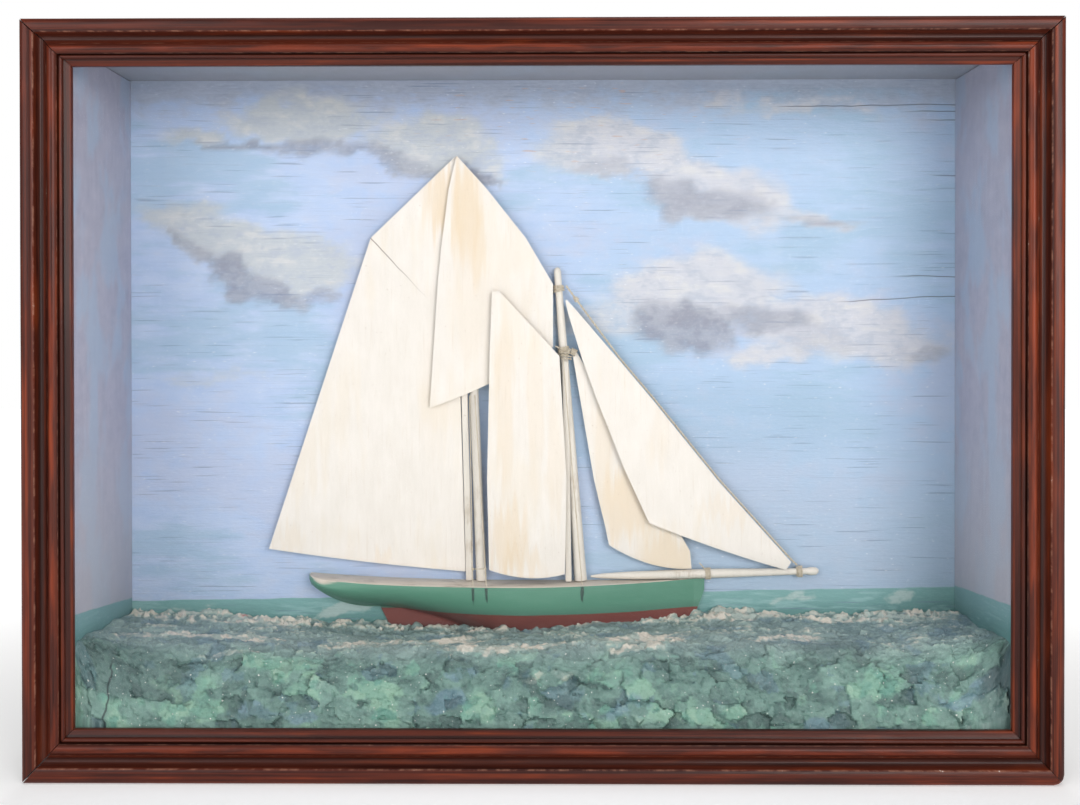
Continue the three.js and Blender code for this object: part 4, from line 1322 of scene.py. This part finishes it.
def sail_mesh(name, sail):
    """A carved sail: a front sheet of points, the same sheet set back, and a rounded rim."""
    gaps = np.abs(np.diff(np.array(sail["left"], float)[:, 1]))
    per_part = [max(2, math.ceil(gap / 4)) for gap in gaps]
    left, t = refine(sail["left"], per_part)
    right, _ = refine(sail["right"], per_part)
    t = (t / t[-1])[:, None]
    s = (0.5 - 0.5 * np.cos(np.linspace(0, math.pi, 36)))[None, :]
    left_low, left_high, right_low, right_high = sail["depths"]
    arch = 4 * s * (1 - s)
    x = lerp(left[:, :1], right[:, :1], s)
    depth = lerp(lerp(left_low, left_high, t), lerp(right_low, right_high, t), s) - sail["belly"] * arch * (1 - t * t)
    z = lerp(left[:, 1:], right[:, 1:], s) - sail["foot"] * (1 - t) ** 3 * arch
    sheet = np.column_stack([x.ravel(), depth.ravel(), z.ravel()])
    seed = len(name)
    sheet[:, 1] += 0.16 * wander(sheet[:, [0, 2]], (40, 70), seed) + 0.05 * wander(sheet[:, [0, 2]], (7, 24), seed + 1)
    if name == "mainsail":
        sheet[:, 1] += gaff_seam(sheet)
    points = np.vstack([sheet, sheet + (0, SAIL_THICKNESS - 0.2, 0)])
    return bevel(make_piece(name + "_board", points, plate_faces(*x.shape)), 0.55, 2)


SEAM = np.array([(-156.8, 444.8), (-102, 386)])  # the gaff's line, from the leech until it fades out


def gaff_seam(sheet):
    """The mainsail stands a little proud of the topsail along the gaff, less and less."""
    way = SEAM[1] - SEAM[0]
    length = np.hypot(*way)
    way = way / length
    offset = sheet[:, [0, 2]] - SEAM[0]
    along = offset @ way
    beside = offset @ np.array([-way[1], way[0]])
    fade = clamp(1 - along / length) ** 0.8
    below = clamp(0.5 - beside / 0.9)
    near = bell(beside / 16)
    return (0.55 * (1 - below) * near - 0.35 * below * near) * fade * clamp(along / 3 + 1)


def seam_line(paint):
    """The painted-over joint along the gaff, fading out towards the mast."""
    slope = (SEAM[1][1] - SEAM[0][1]) / (SEAM[1][0] - SEAM[0][0])
    shake = paint.noise(paint.drawn(1, 0), 0.1, 2.0)
    off = paint.z - (SEAM[0][1] + (paint.x - SEAM[0][0]) * slope + (shake - 0.5) * 2)
    return paint.step(abs(off), 1.0, 0.3) * paint.step(paint.x, SEAM[1][0] + 2, SEAM[0][0] + 6)


def sail_finish(name, stains):
    """Cream oil paint on wood, with tan stains, thin bare edges and a few pinholes."""
    paint = Paint(name + "_paint")
    paint.lay_flat(paint.x, paint.z)
    brush = paint.noise(paint.drawn(1, 0.14), 0.22, 3.0, 0.6)
    broad = paint.noise(paint.place, 0.012, 1.0)
    runs = paint.noise(paint.drawn(1, 0.12, len(name) * 9.0), 0.12, 2.0, 0.5)
    daubs = paint.noise(paint.drawn(1, 0.5), 0.06, 3.0, 0.6)
    colour = paint.mix(tone(226, 219, 209), tone(242, 236, 229), brush * 0.5 + broad * 0.4 + (daubs - 0.5) * 0.8)
    colour = paint.mix(colour, tone(230, 218, 198), paint.step(broad + (runs - 0.5) * 0.5, 0.5, 0.7) * 0.35)
    drips = paint.noise(paint.drawn(1, 0.02, len(name) * 9.0), 0.2, 2.0)
    down = paint.node("ShaderNodeCombineXYZ", None, ((runs - 0.5) * 16, (drips - 0.5) * 70, 0.0))
    dripping = paint.node("ShaderNodeVectorMath", {"operation": "ADD"}, (paint.place, down))
    for x, z, width, height, strength in stains:
        wet = paint.patch(dripping, x, z, width, height) * (0.75 + 0.5 * (daubs - 0.5))
        colour = paint.mix(colour, tone(226, 202, 166), wet * strength * 0.85)
    grain = paint.noise(paint.drawn(1, 0.03), 0.7, 2.0)
    colour = paint.mix(colour, tone(206, 188, 162), paint.step(grain, 0.62, 0.76) * 0.22)
    colour = paint.mix(colour, tone(150, 122, 96), paint.flecks(0.5, 0.24, soft=0.02) * 0.5)
    if name == "mainsail":
        colour = paint.mix(colour, tone(112, 92, 76), seam_line(paint) * 0.75)
    if name in ("fisherman", "staysail", "jib"):
        facing = paint.apart(paint.node("ShaderNodeNewGeometry", None, (), "Normal"))[0]
        rim = paint.step(facing, 0.25, 0.6) * paint.step(brush, 0.3, 0.5)
        colour = paint.mix(colour, tone(168, 122, 82), rim * 0.8)
    return paint.finish(colour, 0.5 + 0.12 * brush, (brush, 0.1))


for name, sail in SAILS.items():
    made = sail_mesh(name, sail)
    dress(made, sail_finish(name, sail["stains"]), "sail_paint", name)
    print(name, "faces", len(made.data.polygons))

# %% [markdown]
# ## Spars and luff strips
# The masts and the bowsprit are turned or whittled dowels. A lathe profile spun round an axis gives
# them, with a slow wobble in the radius so that they read as hand made, and a lean aft as their rake.
# The luff strips are flat laths that stand for the edge of the sail down to the deck.
# %% Spars
MASTS = {
    "main_mast": {"x": -56.5, "depth": 154.4, "foot": 128.9, "head": 500, "radii": (4.8, 3.4), "rake": 0.0376},
    "fore_mast": {"x": 35.8, "depth": 153.5, "foot": 129.2, "head": 419.6, "radii": (5.8, 3.3), "rake": 0.0749},
}
BOWSPRIT = {"heel": (44.5, 132.4), "tip": (256.8, 137.6), "depth": 154.2}
BOWSPRIT_PROFILE = [(0.9, 0.6), (2.4, 12), (3.7, 40), (4.2, 85), (4.2, 120), (3, 190.4), (3, 201.4), (3.8, 204.4),
                    (3.6, 209.4), (1.8, 211.8)]


def turned(name, start, end, profile, seed):
    """A spar between two points from pairs of radius and distance, with a hand-made wobble."""
    start, end = np.array(start, float), np.array(end, float)
    axis = (end - start) / np.linalg.norm(end - start)
    side = np.cross(axis, (0, 1, 0))
    side /= np.linalg.norm(side)
    other = np.cross(axis, side)
    profile = np.array(profile, float)
    along = np.unique(np.concatenate([profile[:, 1], np.arange(profile[0, 1], profile[-1, 1], 4)]))
    radius = np.interp(along, profile[:, 1], profile[:, 0])
    turn = np.linspace(0, 2 * math.pi, 24, endpoint=False)
    rings = []
    for a, r in zip(along, radius):
        rough = 1 + 0.02 * wander(np.column_stack([np.full(24, a / 14), 3 * np.cos(turn)]), 1, seed)
        rings.append(start + axis * a + (r * rough)[:, None] * (np.outer(np.cos(turn), side) + np.outer(np.sin(turn), other)))
    return make_piece(name, np.vstack(rings), loft_faces(len(rings), 24), 50)


def spar_finish():
    paint = Paint("spar_paint")
    grain = paint.noise(paint.stretch(paint.place, (1, 1, 0.08)), 0.5, 4.0, 0.6)
    broad = paint.noise(paint.place, 0.03, 3.0)
    colour = paint.mix(tone(214, 206, 194), tone(240, 234, 224), grain * 0.6 + broad * 0.4)
    colour = paint.mix(colour, tone(176, 158, 134), paint.step(broad + (grain - 0.5) * 0.4, 0.58, 0.74) * 0.5)
    colour = paint.mix(colour, tone(120, 92, 70), paint.flecks(0.7, 0.25) * 0.6)
    return paint.finish(colour, 0.55 + 0.1 * grain, (grain, 0.12))


spar_paint = spar_finish()
for name, mast in MASTS.items():
    rise = mast["head"] - mast["foot"]
    length = rise * math.hypot(1, mast["rake"])
    low, high = mast["radii"]
    profile = [(low, 0), (low, 2), (high, length - 4), (high * 0.75, length - 1.2), (high * 0.3, length - 0.1)]
    foot = (mast["x"], mast["depth"], mast["foot"])
    head = (mast["x"] - mast["rake"] * rise, mast["depth"], mast["head"])
    dress(turned("turned_" + name, foot, head, profile, len(name)), spar_paint, "spar_paint", name)
heel = (BOWSPRIT["heel"][0], BOWSPRIT["depth"], BOWSPRIT["heel"][1])
tip = (BOWSPRIT["tip"][0], BOWSPRIT["depth"], BOWSPRIT["tip"][1])
dress(turned("turned_bowsprit", heel, tip, BOWSPRIT_PROFILE, 8), spar_paint, "spar_paint", "bowsprit")

STRIPS = {
    "mainsail_luff_strip": ((-70.6, 129.2), (-79.2, 490), 150.4, 155.6),
    "foresail_luff_strip": ((21.6, 129.2), (18.6, 332), 145.9, 148),
}
for name, (foot, head, front, back) in STRIPS.items():
    points = [(x + side * 5.6, depth, z) for (x, z) in (foot, head) for depth in (front, back) for side in (0, 1)]
    faces = [(0, 1, 3, 2), (4, 6, 7, 5), (0, 4, 5, 1), (2, 3, 7, 6), (0, 2, 6, 4), (1, 5, 7, 3)]
    lath = bevel(make_piece("lath_" + name, points, faces), 0.5, 2)
    dress(lath, spar_paint, "sail_paint", name)
print("spars and strips", len(MASTS) + 1 + len(STRIPS))

# %% [markdown]
# ## Threads and lashings
# The rigging is ordinary sewing thread and one thicker cord for the headstay, with turns of thread
# round the spars. All of it follows a path, so one Geometry Nodes tree serves: it turns a line of
# points into a curve, sweeps two round plies along it and twists them as it goes, as thread is laid.
# Only the path differs: straight for a shroud, a helix with a loose end for a lashing.


# %% Thread
def thread_finish():
    paint = Paint("waxed_thread")
    dirt = paint.noise(paint.place, 0.3, 3.0)
    colour = paint.mix(tone(196, 182, 158), tone(232, 222, 204), dirt)
    colour = paint.mix(colour, tone(132, 100, 74), paint.flecks(0.45, 0.3) * 0.5)
    return paint.finish(colour, 0.75, (dirt, 0.08))


thread_paint = thread_finish()


def thread_tree(material):
    tree = Growth("laid_thread", Ply=0.32)
    line = tree.node("GeometryNodeMeshToCurve", None, {"Mesh": tree.geometry})
    even = {"Curve": line, "Length": tree["Ply"] * MM * 1.7}
    line = tree.node("GeometryNodeResampleCurve", {"mode": "LENGTH"}, even)
    along = tree.node("GeometryNodeSplineParameter", None, (), "Length")
    turn = along * (0.52 / MM) / tree["Ply"]
    laid = tree.node("GeometryNodeSetCurveTilt", None, {"Curve": line, "Tilt": turn})
    ring = tree.node("GeometryNodeCurvePrimitiveCircle", None, {"Resolution": 6, "Radius": tree["Ply"] * MM})
    beside = tree.node("ShaderNodeCombineXYZ", None, (tree["Ply"] * MM * 0.9, 0.0, 0.0))
    away = tree.node("ShaderNodeCombineXYZ", None, (tree["Ply"] * MM * -0.9, 0.0, 0.0))
    plies = [tree.node("GeometryNodeTransform", None, {"Geometry": ring, "Translation": t}) for t in (beside, away)]
    both = tree.node("GeometryNodeJoinGeometry", None, {"Geometry": plies[0]})
    tree.tree.links.new(plies[1].socket, both.socket.node.inputs[0])
    values = {"Curve": laid, "Profile Curve": both, "Fill Caps": True}
    swept = tree.node("GeometryNodeCurveToMesh", None, values)
    tree.close(swept, material)
    return tree


laying = thread_tree(thread_paint)


def line_object(name, *paths):
    """An object with only edges, along each path of points (x, depth, z)."""
    points, edges = [], []
    for path in paths:
        edges += [(len(points) + i, len(points) + i + 1) for i in range(len(path) - 1)]
        points += [((x) * MM, (depth + FACE) * MM, z * MM) for x, depth, z in path]
    mesh = bpy.data.meshes.new(name)
    mesh.from_pydata(points, edges, [])
    made = bpy.data.objects.new(name, mesh)
    bpy.context.scene.collection.objects.link(made)
    return made


def thread(name, stands_for, paths, ply):
    made = laying.grow(line_object(name, *paths), Ply=ply)
    made.data.shade_smooth()
    return dress(made, None, "thread", stands_for)


def straight(start, end, sag=0.0, pieces=40):
    """Points from start to end; a slack thread hangs down by sag in the middle."""
    t = np.linspace(0, 1, pieces)[:, None]
    path = lerp(np.array(start, float), np.array(end, float), t)
    path[:, 2] -= sag * (4 * t * (1 - t))[:, 0]
    return path


def helix(start, axis, radius, turns, pitch, seed, per_turn=14):
    """Turns of thread round a spar, not quite even."""
    axis = np.array(axis, float) / np.linalg.norm(axis)
    side = np.cross(axis, (0, 1, 0))
    side /= np.linalg.norm(side)
    other = np.cross(axis, side)
    angle = np.linspace(0, 2 * math.pi * turns, round(turns * per_turn))[:, None]
    loose = 0.22 * wander(angle[:, :1], 2.2, seed)[:, None]
    return np.array(start, float) + axis * (angle / (2 * math.pi) * pitch + loose) + (radius + np.abs(loose) * 0.4) * (
        np.cos(angle) * side + np.sin(angle) * other)


shroud_heads = [(-67, 149, 300.6), (-62.2, 148.8, 301.4)]
shroud_feet = [(-62.6, 124.3, 129.6), (-50.4, 124.3, 129.6)]
shrouds = [straight(h, f) for h, f in zip(shroud_heads, shroud_feet)]
cross = straight(*(lerp(np.array(h), np.array(f), 0.91) for h, f in zip(shroud_heads, shroud_feet)), pieces=8)
knots = [helix(lerp(np.array(h), np.array(f), 0.905), (0, 0.1, -1), 0.75, 3, 0.55, 3, 10)
         for h, f in zip(shroud_heads, shroud_feet)]
thread("main_shroud_threads", "main_shrouds", [*shrouds, cross, *knots], 0.32)
thread("fore_shroud_thread", "fore_shroud", [straight((19.2, 141.4, 336), (36.4, 130.4, 129.6))], 0.32)

stay_points = np.array([(236, 152.6, 143.4), *((x + 1.7 * 0.76, 150, z + 1.7 * 0.65) for x, z in JIB_LUFF[:-1]),
                        (22.2, 150, 402.5)], float)
steps = np.linspace(0, len(stay_points) - 1, 120)
stay_path = np.column_stack([np.interp(steps, np.arange(len(stay_points)), stay_points[:, k]) for k in range(3)])
stay_knot = helix(stay_points[-1] + (10.5, 0, -14), (-0.6, 0, 0.8), 1.5, 3, 1.1, 5, 12)
thread("headstay_cord", "headstay", [stay_path, stay_knot], 0.6)


def mast_at(mast, height):
    part = (height - mast["foot"]) / (mast["head"] - mast["foot"])
    radius = lerp(*mast["radii"], part)
    return np.array([mast["x"] - mast["rake"] * (height - mast["foot"]), mast["depth"], height]), radius


fore = MASTS["fore_mast"]
up = (-fore["rake"], 0, 1)
middle, radius = mast_at(fore, 398)
band = helix(middle, up, radius + 0.75, 5, 0.95, 1)
thread("masthead_turns", "masthead_lashing", [band, helix(middle - (0, 0, 1), up, radius + 1.5, 2, 2.6, 2)], 0.4)
middle, radius = mast_at(fore, 338)
band = helix(middle, up, radius + 0.8, 8, 1.0, 7)
tie = straight(middle + (-1, -radius - 1, 6), (12.4, 147, 346.5), 0.5, 12)
loop = helix(middle + (3, -4, 3), (0.7, 0.2, 0.7), 2.2, 2.5, 1.5, 9)
knot = helix(middle + (7, -5, 4), (0.9, 0.1, -0.4), 2.6, 4, 1.2, 19)
slack = helix(middle + (1, -3, -4), (0.2, 0.1, 1), radius + 1.4, 3, 2.6, 21)
thread("hounds_turns", "hounds_lashing", [band, tie, loop, knot, slack], 0.45)
slope = (BOWSPRIT["tip"][0] - BOWSPRIT["heel"][0], 0, BOWSPRIT["tip"][1] - BOWSPRIT["heel"][1])


def bowsprit_at(x):
    part = (x - BOWSPRIT["heel"][0]) / slope[0]
    return np.array([x, BOWSPRIT["depth"], BOWSPRIT["heel"][1] + part * slope[2]])


band = helix(bowsprit_at(151.5), slope, 4.2 + 0.7, 5, 0.95, 12)
end = straight(bowsprit_at(151.5) + (0, -3.5, 4), bowsprit_at(145.8) + (0, -2, 10.5), 0, 10)
thread("stem_turns", "stem_lashing", [band, end], 0.4)
band = helix(bowsprit_at(236), slope, 3 + 0.8, 4, 1.1, 14)
second = helix(bowsprit_at(237), slope, 3 + 1.7, 3, 1.4, 15)
thread("bowsprit_tip_turns", "bowsprit_tip_lashing", [band, second], 0.5)
print("threads laid")

# %% [markdown]
# ## Glass
# The pane is a flat sheet of window glass behind the moulding's lip. Real refraction would hide the
# inside from the lamps and cost a lot of light paths for nothing, because a flat pane only dims and
# reflects a little. So it is a clear glossy surface with a low alpha, which throws no shadow and is
# met only by the rays from the camera.
# %% The pane
def glass_finish():
    material = bpy.data.materials.new("window_glass")
    material.use_nodes = True
    shader = material.node_tree.nodes["Principled BSDF"].inputs
    shader["Base Color"].default_value = tone(120, 140, 140)
    shader["Roughness"].default_value = 0.03
    shader["Alpha"].default_value = 0.02
    shader["IOR"].default_value = 1.5
    return material


low, high = span("glass_pane")
pane = dress(board("window_pane", low, high, 0.3), glass_finish(), "glass", "glass_pane")
pane.visible_shadow = False
pane.visible_diffuse = False
pane.visible_glossy = False
print("pane", (high - low).round(1), "mm")

# %% Sizes, and the end
low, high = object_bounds()
print("visual mm", [round(v / MM, 1) for v in high - low])
